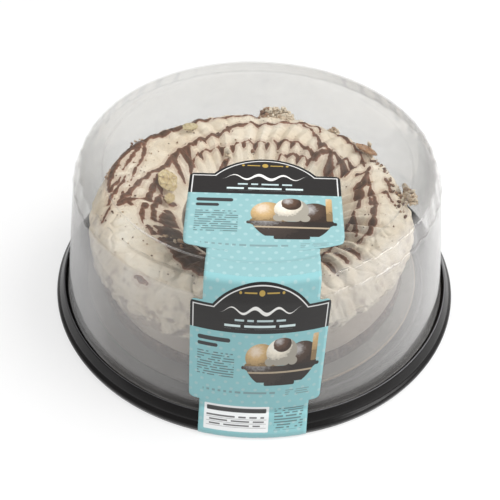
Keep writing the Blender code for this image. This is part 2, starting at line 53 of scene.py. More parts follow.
camera_data = bpy.data.cameras.new("camera")
camera_data.sensor_width = 36.0
camera_data.lens = 61.2
camera_data.shift_x = -0.0094
camera_data.shift_y = 0.049
camera_data.clip_start = 0.01
camera = bpy.data.objects.new("camera", camera_data)
scene.collection.objects.link(camera)
camera.matrix_world = (
    Matrix.Translation((
        0.0,
        -CAMERA_DISTANCE * math.cos(CAMERA_ELEVATION),
        CAMERA_DISTANCE * math.sin(CAMERA_ELEVATION),
    ))
    @ Matrix.Rotation(math.pi / 2 - CAMERA_ELEVATION, 4, "X")
    @ Matrix.Rotation(CAMERA_ROLL, 4, "Z")
)
scene.camera = camera

LAMP_TARGET = Vector((0.0, 0.0, 0.05))


def add_lamp(name, place, width, height, watts, mirrored=True):
    lamp = bpy.data.lights.new(name, "AREA")
    lamp.shape = "RECTANGLE"
    lamp.size, lamp.size_y = width, height
    lamp.energy = watts
    obj = bpy.data.objects.new(name, lamp)
    obj.location = place
    obj.rotation_euler = (LAMP_TARGET - Vector(place)).to_track_quat("-Z", "Y").to_euler()
    obj.visible_glossy = mirrored
    scene.collection.objects.link(obj)


add_lamp("right lamp", (0.80, 0.15, 1.22), 0.9, 0.8, 17.2, mirrored=False)
add_lamp("left lamp", (-0.92, -0.12, 1.08), 0.9, 0.8, 9.6, mirrored=False)
add_lamp("right strip lamp", (1.22, -0.28, 0.68), 1.65, 0.24, 7.2)


class Wire:
    """A value, colour or vector on its way through the nodes of one material."""

    def __init__(self, socket):
        self.socket = socket

    def node(self, kind, settings, values, output=0):
        """Adds a node: its settings first, then the values or links of its sockets."""
        tree = self.socket.id_data
        made = tree.nodes.new(kind)
        for name, setting in settings.items():
            if name == "stops":
                ramp = made.color_ramp.elements
                while len(ramp) < len(setting):
                    ramp.new(1.0)
                for stop, (place, colour) in zip(ramp, setting):
                    stop.position, stop.color = place, (*colour, 1.0)
            else:
                setattr(made, name, setting)
        for name, value in values.items():
            socket = made.inputs[name]
            if isinstance(value, Wire):
                tree.links.new(value.socket, socket)
            elif socket.type == "RGBA" and len(value) == 3:
                socket.default_value = (*value, 1.0)
            else:
                socket.default_value = value
        return Wire(made.outputs[output])

    def math(self, operation, *others, clamp=False):
        settings = {"operation": operation, "use_clamp": clamp}
        return self.node("ShaderNodeMath", settings, dict(enumerate((self, *others))))

    def __add__(self, other):
        return self.math("ADD", other)

    def __sub__(self, other):
        return self.math("SUBTRACT", other)

    def __rsub__(self, other):
        return self.node("ShaderNodeMath", {"operation": "SUBTRACT"}, {0: other, 1: self})

    def __mul__(self, other):
        return self.math("MULTIPLY", other)

    def __truediv__(self, other):
        return self.math("DIVIDE", other)

    def __pow__(self, other):
        return self.math("POWER", other)

    __radd__ = __add__
    __rmul__ = __mul__

    def abs(self):
        return self.math("ABSOLUTE")

    def floor(self):
        return self.math("FLOOR")

    def max(self, other):
        return self.math("MAXIMUM", other)

    def min(self, other):
        return self.math("MINIMUM", other)

    def clamp(self):
        return self.math("ADD", 0.0, clamp=True)

    def above(self, edge, width):
        """0 below an edge and 1 above it, over a width."""
        return ((self - edge) / width).math("ADD", 0.5, clamp=True)

    def near(self, line, half):
        """1 on a line, falling to 0 a half width away from it."""
        return (1 - ((self - line) / half).abs()).clamp()

    def mix(self, other, share):
        """This colour with a share of another one over it."""
        values = {0: share, 6: self, 7: other}
        return self.node("ShaderNodeMix", {"data_type": "RGBA"}, values, 2)

    def ramp(self, stops):
        """The colour of this value between stops of place and colour."""
        return self.node("ShaderNodeValToRGB", {"stops": stops}, {0: self})

    def channel(self, name):
        """One channel of a colour, or one part of a vector."""
        kind = "SeparateXYZ" if name in "XYZ" else "SeparateColor"
        return self.node("ShaderNode" + kind, {}, {0: self}, name)

    def hypot(self, other):
        return (self * self + other * other) ** 0.5

    def from_axis(self, x=0.0):
        """Distance of this place from an upright axis."""
        return (self.channel("X") - x).hypot(self.channel("Y"))

    def noise(self, scale, detail=3.0, roughness=0.5):
        """Noise of this many bumps a metre, or a millimetre where the place is in mm."""
        values = {"Vector": self, "Scale": scale, "Detail": detail, "Roughness": roughness}
        return self.node("ShaderNodeTexNoise", {}, values)

    def held(self, name):
        """A value that the mesh holds at each of its places."""
        return self.node("ShaderNodeAttribute", {"attribute_name": name}, {}, "Fac")

    def cells(self, scale, output="Distance"):
        """Distance to the nearest of many scattered points, or the colour of its cell."""
        return self.node("ShaderNodeTexVoronoi", {}, {"Vector": self, "Scale": scale}, output)

    def bump(self, height, distance):
        return self.node("ShaderNodeBump", {}, {"Height": height, "Distance": distance})


# the sky is darker where the lid mirrors it to the camera, so that the cake shows through
sky = bpy.data.worlds.new("studio sky")
sky.use_nodes = True
scene.world = sky
backdrop = sky.node_tree.nodes["Background"]
backdrop.inputs["Color"].default_value = (1.0, 1.0, 1.0, 1.0)
aim = Wire(sky.node_tree.nodes.new("ShaderNodeTexCoord").outputs["Generated"])
mirrored_part = aim.node("ShaderNodeVectorMath", {"operation": "DOT_PRODUCT"}, {
    0: aim, 1: (0.0, 0.75, 0.66),
}, "Value")
daylight = 0.40 + 0.09 * aim.channel("X") - 0.20 * mirrored_part.above(0.68, 0.22)
# seen directly, the sky is as white as the floor
direct = aim.node("ShaderNodeLightPath", {}, {}, "Is Camera Ray")
daylight = daylight + direct * (0.97 - daylight)
sky.node_tree.links.new(daylight.socket, backdrop.inputs["Strength"])


def new_finish(name, **constants):
    """A material, its Principled shader and the place in it where wires start."""
    material = bpy.data.materials.new(name)
    material.use_nodes = True
    shader = material.node_tree.nodes["Principled BSDF"]
    for socket, value in constants.items():
        shader.inputs[socket.replace("_", " ")].default_value = value
    place = Wire(shader.outputs[0]).node("ShaderNodeTexCoord", {}, {}, "Object")
    return material, shader, place


def feed(shader, **wires):
    """Links wires to the shader's sockets of these names."""
    for socket, wire in wires.items():
        shader.id_data.links.new(wire.socket, shader.inputs[socket.replace("_", " ")])


FLOOR_RADIUS, FLOOR_CORNERS = 4.0, 96
floor_turns = [2 * math.pi * k / FLOOR_CORNERS for k in range(FLOOR_CORNERS)]
floor_mesh = bpy.data.meshes.new("floor")
floor_mesh.from_pydata(
    [(FLOOR_RADIUS * math.cos(turn), FLOOR_RADIUS * math.sin(turn), 0.0) for turn in floor_turns],
    [], [tuple(range(FLOOR_CORNERS))],
)
floor = bpy.data.objects.new("floor", floor_mesh)
scene.collection.objects.link(floor)
floor_finish, floor_shader, floor_place = new_finish(
    "pale floor", Roughness=0.9, Emission_Strength=1.62
)
floor_tone = floor_place.noise(3.0).ramp(((0.0, (0.35, 0.35, 0.35)), (1.0, (0.37, 0.37, 0.37))))
feed(floor_shader, Base_Color=floor_tone, Emission_Color=floor_tone)
floor_mesh.materials.append(floor_finish)


# Tray. One black sheet, heated and drawn down over a mould: a raised floor for the cake, a
# ledge and lip that the lid snaps on, and a sloping skirt that ends in a rolled rim.
MM = 0.001
TRAY_SHEET = 0.9 * MM
TRAY_COLUMNS = 288
TRAY_LIP = 121.1 * MM
TRAY_FLOOR_EDGE = 107.3 * MM
# Radius and height in mm, from the middle out
TRAY_PROFILE = (
    (0.0, 10.3), (106.5, 10.3), (108.3, 7.9), (120.2, 7.9), (120.5, 11.3), (121.4, 11.8),
    (124.4, 6.6), (124.6, 5.9), (126.5, 4.3), (127.0, 2.8), (126.3, 0.0),
)


def rounded(points, bend, steps=4):
    """A profile whose corners are drawn out into bends, as a formed sheet's are."""
    out = [Vector(points[0])]
    for before, corner, after in zip(points, points[1:], points[2:]):
        a, c, b = Vector(before), Vector(corner), Vector(after)
        start = c + (a - c).normalized() * min(bend, 0.45 * (a - c).length)
        end = c + (b - c).normalized() * min(bend, 0.45 * (b - c).length)
        for k in range(steps + 1):
            t = k / steps
            out.append((1 - t) ** 2 * start + 2 * t * (1 - t) * c + t * t * end)
    out.append(Vector(points[-1]))
    return np.array([tuple(point) for point in out]) * MM


def polar(radius, azimuth, height):
    """Places about the Z axis; azimuth 0 is the front, and it grows towards +X."""
    parts = (radius * np.sin(azimuth), -radius * np.cos(azimuth), height)
    return np.stack(np.broadcast_arrays(*parts), -1)


def turns(columns):
    """Azimuths of the columns of a round mesh."""
    return np.arange(columns) * 2 * math.pi / columns


def grid_mesh(name, places, around=True, looped=False):
    """A smooth mesh from rows of places, each joined to the next and, if looped, last to first."""
    rows, columns = places.shape[:2]
    index = np.arange(rows * columns).reshape(rows, columns)
    if looped:
        index = np.concatenate([index, index[:1]])
    beside = np.roll(index, -1, axis=1)
    if not around:
        index, beside = index[:, :-1], beside[:, :-1]
    faces = np.stack([index[:-1], index[1:], beside[1:], beside[:-1]], -1).reshape(-1, 4)
    mesh = bpy.data.meshes.new(name)
    mesh.from_pydata(places.reshape(-1, 3).tolist(), [], faces.tolist())
    mesh.shade_smooth()
    return mesh


def add_sheet(piece, thickness, offset=-1.0, even=True):
    """Gives a surface the thickness of its sheet."""
    solidify = piece.modifiers.new("sheet", "SOLIDIFY")
    solidify.thickness = thickness
    solidify.offset = offset
    solidify.use_even_offset = even


def weld(mesh, fill=False):
    """Merges the places that meet, such as a middle that was drawn as a ring, and fills holes."""
    bm = bmesh.new()
    bm.from_mesh(mesh)
    bmesh.ops.remove_doubles(bm, verts=bm.verts, dist=0.00001)
    if fill:
        bmesh.ops.holes_fill(bm, edges=[edge for edge in bm.edges if edge.is_boundary])
    bm.to_mesh(mesh)
    bm.free()
    return mesh


def turned_mesh(name, profile, columns):
    """A profile of radius and height turned about Z, with its middle closed to a point."""
    places = polar(profile[:, 0, None], turns(columns)[None], profile[:, 1, None])
    return weld(grid_mesh(name, places))


def new_piece(name, mesh, material, slot, *nodes):
    """Puts a mesh in the scene in the place of its CAD nodes."""
    piece = bpy.data.objects.new(name, mesh)
    piece.data.materials.append(material)
    scene.collection.objects.link(piece)
    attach(piece, "root")
    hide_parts(*nodes)
    return piece


tray_finish, tray_shader, tray_place = new_finish(
    "black formed plastic", Specular_IOR_Level=0.28
)
cloudy = tray_place.noise(38.0, 2.0)
from_axis = tray_place.from_axis()
rightward = (tray_place.channel("X") / 0.16).clamp()
# the lip's crest is paler, partly from scuffing and partly as a painted highlight at the right
crest = from_axis.near(TRAY_LIP, 0.5 * MM) * tray_place.channel("Z").above(11.0 * MM, 0.5 * MM)
# painted highlight: a pale line on the bend at the floor's edge, at the right only
bend = from_axis.near(TRAY_FLOOR_EDGE, 0.8 * MM) * rightward
tray_black = cloudy.ramp(((0.3, (0.0045, 0.004, 0.004)), (0.7, (0.009, 0.008, 0.008))))
scuff_and_painted_highlight = crest * (0.3 + 0.5 * cloudy + rightward) + 1.4 * bend
feed(
    tray_shader,
    Base_Color=tray_black.mix((0.20, 0.20, 0.21), scuff_and_painted_highlight),
    Roughness=0.15 + 0.14 * tray_place.noise(120.0, 4.0),
    Normal=tray_place.bump(tray_place.noise(60.0, 2.0), 0.08 * MM),
)
tray = new_piece(
    "tray", turned_mesh("tray", rounded(TRAY_PROFILE, 0.9), TRAY_COLUMNS),
    tray_finish, "black_plastic", "tray",
)
add_sheet(tray, TRAY_SHEET)


# Cake board. A round of dark laminated card under the crust, cut with a die, so that its pale
# core shows at the edge. It lies on the tray's raised floor, a little to the left.
CAKE_PLACE = np.array((-2.0, 0.0, 0.0)) * MM
BOARD_RADIUS, BOARD_BASE, BOARD_TOP = 104.5, 10.6, 12.2
BOARD_COLUMNS = 240
BOARD_PROFILE = (
    (0.0, BOARD_TOP), (BOARD_RADIUS, BOARD_TOP), (BOARD_RADIUS, BOARD_BASE), (0.0, BOARD_BASE),
)


def shift_mesh(mesh, step):
    """Moves a mesh as a whole, such as to the cake's place on the tray."""
    mesh.transform(Matrix.Translation(Vector(step)))
    return mesh


board_finish, board_shader, board_place = new_finish("laminated board", Roughness=0.5)
# painted shade: the laminate is painted darker towards the left, as if lit from the right
painted_light_from_right = (board_place.channel("X") / 0.08 + 0.5).clamp()
from_middle = board_place.from_axis(CAKE_PLACE[0])
core_shows = from_middle.above((BOARD_RADIUS - 0.55) * MM, 0.3 * MM)
creased = 0.35 * from_middle.near((BOARD_RADIUS - 2.4) * MM, 0.45 * MM)
laminate = board_place.noise(300.0, 4.0).ramp((
    (0.35, (0.22, 0.21, 0.185)), (0.65, (0.29, 0.275, 0.245)),
)).mix((0.10, 0.093, 0.088), 0.8 * (1 - painted_light_from_right))
feed(
    board_shader,
    # its pale core and crease fade out towards the left with the same painted light
    Base_Color=laminate.mix((0.50, 0.40, 0.29), core_shows.max(creased) * painted_light_from_right),
    Normal=board_place.bump(board_place.noise(900.0, 3.0), 0.05 * MM),
)
new_piece(
    "cake_board",
    shift_mesh(
        turned_mesh("cake_board", rounded(BOARD_PROFILE, 0.35), BOARD_COLUMNS), CAKE_PLACE
    ),
    board_finish, "board", "cake_board",
)


# Crust. Dark chocolate biscuit, crushed, mixed with fat and pressed flat on the board, so its
# side is a wall of crumbs of all sizes.
CRUST_RADIUS, CRUST_BASE, CRUST_TOP = 95.2, 12.5, 20.2
LAYER_EDGE = 0.9
LAYER_COLUMNS = 480


def lumpy(places, scale, seed=0.0):
    """Smooth noise between about -1 and 1 at each of many places, with lumps of a scale."""
    flat = places.reshape(-1, 3) / scale + seed
    return np.array([noise.noise(place) for place in flat.tolist()]).reshape(places.shape[:-1])


def lumps(places, *layers):
    """Lumps of several sizes over each other: each layer a share, a scale and a seed."""
    return sum(share * lumpy(places, scale, seed) for share, scale, seed in layers)


def drum_mesh(name, radius, base, top, rows, roughness):
    """A layer of the cake: a flat drum with soft edges, whose side is pushed in and out."""
    heights = base + (top - base) * np.linspace(0.0, 1.0, rows)
    rounding = np.clip(1 - np.minimum(heights - base, top - heights) / LAYER_EDGE, 0, 1)
    inset = LAYER_EDGE * (1 - np.sqrt(np.clip(1 - rounding ** 2, 0, 1)))
    radii = np.concatenate([[0.0, 0.7 * radius], radius - inset[::-1], [0.7 * radius, 0.0]])
    heights = np.concatenate([[top, top], heights[::-1], [base, base]])
    radii, heights, azimuth = radii[:, None], heights[:, None], turns(LAYER_COLUMNS)[None]
    push = roughness(polar(radii, azimuth, heights))
    push[[0, 1, -2, -1]] = 0.0
    places = polar(radii + push, azimuth, heights) * MM
    return shift_mesh(weld(grid_mesh(name, places)), CAKE_PLACE)


def crumbly(places):
    """Push of the crust's side: lumps of crumb of three sizes."""
    return lumps(places, (0.9, 13.0, 0.0), (0.55, 3.2, 7.0), (0.3, 1.3, 3.0))


crust_finish, crust_shader, crust_place = new_finish("chocolate crumb", Roughness=0.8)
feed(
    crust_shader,
    Base_Color=crust_place.noise(420.0, 5.0, 0.65).ramp((
        (0.30, (0.040, 0.022, 0.016)), (0.50, (0.100, 0.056, 0.040)), (0.70, (0.27, 0.17, 0.12)),
    )),
    Normal=crust_place.bump(crust_place.cells(620.0), 0.7 * MM),
)
new_piece(
    "biscuit_crust",
    drum_mesh("biscuit_crust", CRUST_RADIUS, CRUST_BASE, CRUST_TOP, 12, crumbly),
    crust_finish, "crust", "biscuit_crust",
)


# Ice cream. The thick layer that the cake is made of: pale coffee ice cream, filled into a round
# mould and turned out, so its side is smooth with a few pits and drag marks.
ICE_CREAM_RADIUS, ICE_CREAM_BASE, ICE_CREAM_TOP = 93.4, 20.5, 48.1


def moulded(places):
    """Push of the ice cream's side: soft lumps, and marks drawn down by the mould."""
    stretched = places * np.array((1.0, 1.0, 3.0))
    return 0.55 * lumpy(places, 14.0) + 0.16 * lumpy(stretched, 4.0, 5.0)


ice_finish, ice_shader, ice_place = new_finish("ice cream", Roughness=0.5)
mottled = ice_place.noise(45.0, 3.0)
pale_coffee = mottled.ramp(((0.35, (0.60, 0.515, 0.44)), (0.65, (0.70, 0.62, 0.535))))
specks = (1 - ice_place.cells(210.0).above(0.12, 0.05)) * 0.5
feed(
    ice_shader,
    Base_Color=pale_coffee.mix((0.20, 0.115, 0.08), specks),
    Roughness=0.42 + 0.2 * mottled,
    Normal=ice_place.bump(ice_place.noise(420.0, 4.0), 0.18 * MM),
)
new_piece(
    "ice_cream_layer",
    drum_mesh("ice_cream_layer", ICE_CREAM_RADIUS, ICE_CREAM_BASE, ICE_CREAM_TOP, 30, moulded),
    ice_finish, "ice_cream", "ice_cream_layer",
)


# Cream. Whipped topping, piped and combed into one wide ring: ridges run down to the middle, and
# the outer edge sags over the side, far down and ragged at the left, hardly at the right. Fudge
# sauce is drizzled over it in rough rings, gathers in the valleys and runs down them.
RIDGES = 48
SWIRLS = 12
CREAM_BASE = 48.4
CREAM_INNER, CREAM_START, CREAM_SHOULDER = 44.0, 43.5, 88.0
CREAM_OUTER, CREAM_BACK = 97.6, 94.6
CREAM_COLUMNS = 1056
DEEPEST_RIDGE = 4.4
RIDGE_SHARPNESS = 1.25
SWIRL_RISE_LIMIT = 1.1
SWIRL_GAP = 1.3
DRAPE_TOP = 47.0
SAUCE_THICKNESS = 0.9
# The outer shoulder stands this many mm higher about this azimuth, over this spread in degrees
LEFT_RISE, LEFT_RISE_AZIMUTH, LEFT_RISE_SPREAD = 3.8, -116.0, 17.0
# Section through the ring: radius, height and depth of the ridges in mm
CREAM_SECTION = np.array((
    (CREAM_START, 50.8, 0.4), (49.0, 55.2, 2.6), (55.0, 60.0, 4.0), (61.5, 63.8, DEEPEST_RIDGE),
    (68.5, 66.2, 4.0), (75.5, 67.2, 3.0), (82.5, 66.8, 1.9), (88.5, 64.8, 1.5),
    (92.8, 61.0, 1.5), (95.6, 55.0, 1.2), (CREAM_OUTER, 51.0, 0.6),
))
# Share of the ridges' depth by azimuth in degrees: the left was smeared flat as it was piped
RIDGE_STRENGTH = np.array((
    (-180, 1.0), (-140, 0.85), (-118, 0.5), (-60, 0.45), (-35, 0.8), (0, 1.0), (60, 1.2),
    (120, 1.15), (180, 1.0),
))
# Drizzle: each strand as azimuth in degrees, radius and half width in mm about the cake's middle
STRANDS = (
    ((-93, 88, 0.8), (-98, 89, 1.3), (-102, 89.6, 2), (-106, 90.2, 2.4), (-110, 90.2, 1.3),
     (-115, 90.2, 2.4), (-120, 90.2, 3.2), (-124, 89.6, 3.2), (-127, 88.6, 1.6),
     (-131, 87.2, 2.9), (-136, 85.6, 3.3), (-141, 84.8, 2.4), (-147, 84.6, 2.8),
     (-154, 85.2, 2.3), (-159, 86, 1.2)),
    ((-82, 84.4, 0.6), (-78.5, 87.6, 0.9), (-75.7, 90.5, 0.6)),
    ((-44, 91.3, 0.5), (-41, 91, 1.2), (-38, 91.2, 0.7)),
    ((-160, 83.2, 0.8), (-163, 83.6, 1.4), (-167, 84.6, 1.2), (-171, 85.6, 1), (-176, 86.4, 1),
     (-182, 86.8, 1), (-188, 86.4, 0.9), (-194, 86, 0.8)),
    ((-125, 87.2, 1.4), (-120, 81.1, 1.4), (-112, 77, 1.2), (-106, 76.6, 1), (-99, 75.9, 0.7)),
    ((-122, 87, 1.4), (-117, 84.5, 1.4), (-111, 83.6, 1.5), (-105, 84.2, 0.7)),
    ((-92, 87, 1.4), (-96, 84.5, 1.3), (-100, 83, 0.7)),
    ((-84, 86.5, 1), (-90, 84.5, 1.5), (-96, 81, 1.2), (-101, 80.2, 0.8)),
    ((-182, 76.5, 0.8), (-177, 76.3, 0.9), (-172, 73.8, 1.8), (-167, 72, 1.6), (-163, 69.4, 1.6),
     (-158, 68.2, 1.2), (-148, 68, 1.6), (-139, 65.6, 1.4), (-134, 65.8, 1.6), (-127, 64.6, 2.2),
     (-119, 63.9, 1.9), (-113, 64.2, 1.9), (-108, 67, 1.4), (-98, 71.3, 1.7), (-93, 73.5, 1.7),
     (-88, 77.2, 2), (-84, 80.5, 1.3)),
    ((-89, 65.5, 0.8), (-86, 70.8, 1.4), (-85, 74.7, 2), (-84, 78, 2.2), (-81, 80.5, 1.4)),
    ((-82, 73, 1.3), (-86, 76.5, 1.5), (-91, 79, 1.2)),
    ((-133, 65.1, 1.6), (-133, 60, 2.3), (-133, 55.9, 2.5), (-129, 51.7, 1.1)),
    ((-138, 64.5, 1.9), (-136, 59.9, 0.9)),
    ((-125, 62.6, 2.2), (-124, 58, 1.6), (-122, 53.6, 1.6), (-119, 49.9, 0.8)),
    ((-163, 57, 0.8), (-156, 58.8, 0.7), (-146, 59.1, 0.8), (-141, 58.5, 0.8), (-136, 56.6, 0.9)),
    ((-109, 62.5, 1.6), (-101, 62.2, 1.8), (-95, 62.5, 1.9), (-89, 63.2, 1.9), (-82, 64.9, 1.9),
     (-77, 66.9, 1.7), (-70, 67.5, 1.7), (-62, 65.5, 1.9), (-52, 64, 1.9)),
    ((-103, 61.2, 2.2), (-101, 58.3, 1.9), (-98, 57.1, 0.6)),
    ((-95, 56.8, 1.5), (-89, 58.2, 2.1), (-83, 59.7, 2), (-76, 60.5, 1.8)),
    ((-95, 55, 1.5), (-94, 51.5, 1.9), (-95, 48.2, 1.5)),
    ((183, 77.3, 0.8), (179, 75.8, 1.1), (174, 76.4, 1.1), (171, 76.4, 0.8), (168, 78.3, 1),
     (164, 81.2, 0.9), (160, 82.6, 1.3), (155, 86, 1), (151, 86, 1), (149, 82.1, 0.8)),
    ((157, 81.7, 1.1), (154, 81.2, 1.1), (150, 77.1, 1.1), (145, 72.5, 1.5), (142, 68.9, 1.6),
     (140, 69.5, 1.3), (136, 70.2, 1)),
    ((-163, 57, 0.7), (-167, 58.8, 0.8), (-171, 60.3, 0.9), (-177, 61.2, 0.8), (-182, 61, 0.8),
     (-186, 61, 0.7)),
    ((169, 62.2, 0.9), (165, 62.2, 1.3), (161, 64.3, 0.9), (155, 65.1, 1), (151, 64.2, 1.1),
     (146, 63.3, 1.6), (141, 62.4, 1.8), (138, 66.3, 1.8), (136, 69.7, 1.1)),
    ((140, 60.9, 3), (138, 57.9, 0.8)),
    ((143, 59.7, 0.8), (143, 55.4, 1)),
    ((163, 51.4, 0.6), (162, 54.3, 0.8), (158, 55.6, 0.9), (153, 57, 1.2), (148, 58.3, 0.8),
     (144, 57.2, 0.7)),
    ((135, 68.7, 1.2), (133, 66.1, 1.8), (130, 62, 2.3), (128, 59.3, 2.5), (123, 57.6, 1.5),
     (121, 54.8, 0.9)),
    ((144, 71.1, 2), (140, 70, 1.5), (135, 68.7, 1.2), (131, 69, 1.3), (127, 70.2, 1.4),
     (123, 71.6, 1.2), (118, 71.8, 0.9)),
    ((113, 69.7, 1.5), (112, 73, 1), (113, 76.7, 1.3), (115, 79.7, 1.1)),
    ((127, 68.8, 1.8), (123, 66.6, 2.3), (118, 66, 2.1), (115, 62.4, 0.9)),
    ((141, 86.5, 1.3), (137, 86.2, 1.6), (129, 84, 1.4), (125, 82.5, 1.1), (120, 78.8, 1),
     (116, 76.6, 1)),
    ((111, 75.4, 1.5), (106, 70.3, 2.3), (102, 65.7, 3), (95, 64.4, 1.6), (88, 63.2, 1.3),
     (87, 60.8, 0.8)),
    ((112, 75.9, 1), (107, 73.9, 1), (101, 72.4, 1.2), (93, 72.7, 1.3), (88, 73.3, 1.6),
     (84, 72, 2.1), (79, 72.5, 1.6), (72, 72.7, 1.5), (67, 73.3, 1.2), (66, 71.6, 1),
     (62, 71.4, 0.9), (59, 70.3, 0.9)),
    ((93, 69.9, 1), (90, 70.9, 1.3)),
    ((87, 60.5, 0.8), (78, 60.5, 1.5), (73, 59.4, 1.9), (69, 58.4, 0.8)),
    ((77, 61.7, 1), (69, 64, 1.4), (63, 67.2, 1.1)),
    ((106, 85.6, 1.2), (101, 84.6, 1), (97, 85.4, 0.6)),
    ((98, 80.4, 1), (94, 81.6, 1.3), (91, 84, 0.8)),
    ((53, 66, 0.9), (52, 72.4, 1.3), (50, 78.4, 1.1)),
    ((46.5, 64, 1), (45.5, 70.6, 1.4), (44, 76.4, 1.1)),
    ((38.5, 64, 1), (38, 70, 1.4), (37, 75.4, 1)),
    ((-22, 57, 9.5), (-34, 57, 9.8), (-46, 56, 9), (-58, 54.5, 7.8), (-70, 52.8, 6),
     (-82, 51, 3.4)),
    ((-20, 67, 4.5), (-28, 67.5, 4.4), (-36, 66.8, 3.2), (-42, 66, 1.8)),
    ((-78, 60, 1.5), (-70, 61.5, 2.4), (-62, 61, 2.2)),
    ((-26, 71.5, 1.6), (-12, 71.5, 1.4), (4, 70.5, 1.5), (20, 71.5, 1.4), (30, 70.5, 1.2)),
    ((-20, 61.5, 1.6), (-4, 60.5, 1.5), (14, 61.5, 1.6), (32, 60.5, 1.5), (48, 60, 1.3),
     (62, 60, 1)),
    ((-14, 84.5, 1.3), (4, 85.5, 1.2), (14, 84.5, 0.8)),
    ((-150, 45.6, 0.8), (-153, 47.6, 1.3), (-157, 50, 1.4), (-161, 50.6, 0.8)),
)
STRAND_STEPS = 5
# The sauce spreads to this many times its width, and none is looked for this many mm past it
STRAND_SPREAD, STRAND_MARGIN = 1.12, 3.0
NO_SAUCE = -9.0
# Field at the left front where the strands were smeared: azimuths in degrees and radii in mm
SMEAR_START, SMEAR_END, SMEAR_INNER, SMEAR_OUTER = -86, -20, 46, 68
# Pools at the foot of the valleys: number of the valley, radius of the top and length in mm
POOLS = (
    (-22, 57.4, 3.2), (-23, 59.4, 2.6), (24, 59.6, 2.4), (23, 59.4, 3.4), (22, 61.8, 3.6),
    (21, 63.2, 3.0), (-19, 58.0, 3.4), (-21, 58.2, 3.0), (-20, 67.6, 4.0), (-18, 65.4, 5.0),
    (-22, 71.0, 4.0), (19, 62.5, 5.0), (20, 56.2, 3.0), (-6, 63.5, 5.5), (-5, 63.0, 6.0),
    (-3, 60.5, 5.0), (-1, 60.0, 5.0), (1, 60.5, 5.5), (3, 60.5, 5.0), (5, 60.0, 6.0),
    (7, 60.0, 5.0), (-2, 70.5, 4.0), (2, 70.8, 4.0), (4, 71.0, 4.0), (9, 59.0, 5.0),
)
POOL_TOP_HALF, POOL_TIP_HALF, POOL_FALL = 1.9, 0.3, 0.85


draw = random.Random(12)
SWIRL_RISE = np.array([draw.uniform(-1, 1) * SWIRL_RISE_LIMIT for _ in range(SWIRLS)])
RIDGE_SHARE = np.array([draw.uniform(0.3, 1.0) for _ in range(RIDGES)])


def in_degrees(azimuth):
    """Azimuth in degrees from -180 to 180."""
    return np.degrees((azimuth + math.pi) % (2 * math.pi) - math.pi)


def ridge_cut(azimuth):
    """Share of the ridge depth that is cut away: 1 in a valley, 0 on a rounded crest."""
    turn = azimuth / (2 * math.pi) * RIDGES
    valley = np.round(turn)
    across = np.clip(1 - 2 * np.abs(turn - valley), 0, 1)
    share = RIDGE_SHARE[valley.astype(int) % RIDGES] * across ** RIDGE_SHARPNESS
    return share * np.interp(in_degrees(azimuth), *RIDGE_STRENGTH.T)


def swirl_relief(azimuth):
    """Rise of each swirl, with a dip where it meets the next."""
    turn = (azimuth / (2 * math.pi)) % 1.0 * SWIRLS
    index = np.floor(turn).astype(int) % SWIRLS
    along = turn - np.floor(turn)
    blend = 0.5 - 0.5 * np.cos(math.pi * along)
    rise = SWIRL_RISE[index] * (1 - blend) + SWIRL_RISE[(index + 1) % SWIRLS] * blend
    return rise - SWIRL_GAP * (1 - np.abs(np.cos(math.pi * (along - 0.5))) ** 0.6)


def section_at(radius, column):
    """The cream's section at a radius, with the corners of its outline smoothed."""
    steps = np.linspace(-2.4, 2.4, 7)
    return sum(
        np.interp(radius + step, CREAM_SECTION[:, 0], CREAM_SECTION[:, column]) for step in steps
    ) / len(steps)


def cream_height(radius, azimuth):
    """Height of the cream's top: its section with ridges, swirls, folds and lumps."""
    inside = np.clip((radius - CREAM_START) / 10.0, 0, 1)
    outside = np.clip((CREAM_OUTER - radius) / 10.0, 0, 1)
    sway = azimuth + math.radians(1.3) * np.sin(radius / 7.0 + 3 * azimuth)
    cut = section_at(radius, 2) * ridge_cut(sway)
    height = section_at(radius, 1) - cut + np.minimum(inside, outside) * swirl_relief(azimuth)
    plan = polar(radius, azimuth, 0.0)
    rough = np.interp(radius, (44, 70, 84, 98), (0.35, 0.6, 1.4, 1.6))
    folds = np.clip(1 - np.abs(lumpy(plan, 10.0, 3.0)) / 0.13, 0, 1)
    height += rough * (lumps(plan, (0.7, 11.0, 0.0), (0.55, 5.0, 6.0)) - 0.6 * folds)
    at_left = np.exp(-((in_degrees(azimuth) - LEFT_RISE_AZIMUTH) / LEFT_RISE_SPREAD) ** 2)
    at_left = at_left * np.clip((radius - 81.0) / 8.0, 0, 1)
    height += LEFT_RISE * at_left * np.clip((CREAM_OUTER - radius) / 4.0, 0, 1)
    return height + 0.2 * lumpy(plan, 1.9, 9.0)


def rim_push(azimuth):
    """How far the outer edge bulges, most at the left of the back, and is cut by the ridges."""
    bulge = np.clip(np.cos(azimuth + math.radians(118)), 0, 1)
    return 2.2 * bulge - 1.6 * ridge_cut(azimuth)


def drape_height(azimuth):
    """Height of the ragged lower edge of the cream that sags over the side."""
    ripple = 1.6 * np.sin(11 * azimuth) + 1.1 * np.sin(17 * azimuth + 1.0)
    low = 37.5 + 10.5 * np.cos(azimuth - math.radians(70)) + ripple
    ragged = lumps(polar(97.0, azimuth, 0.0), (1.0, 7.0, 4.0), (0.6, 2.4, 0.0))
    slack = np.clip((DRAPE_TOP - low) / 10.0, 0.15, 1)
    return np.minimum(DRAPE_TOP, low + 2.4 * ragged * slack)


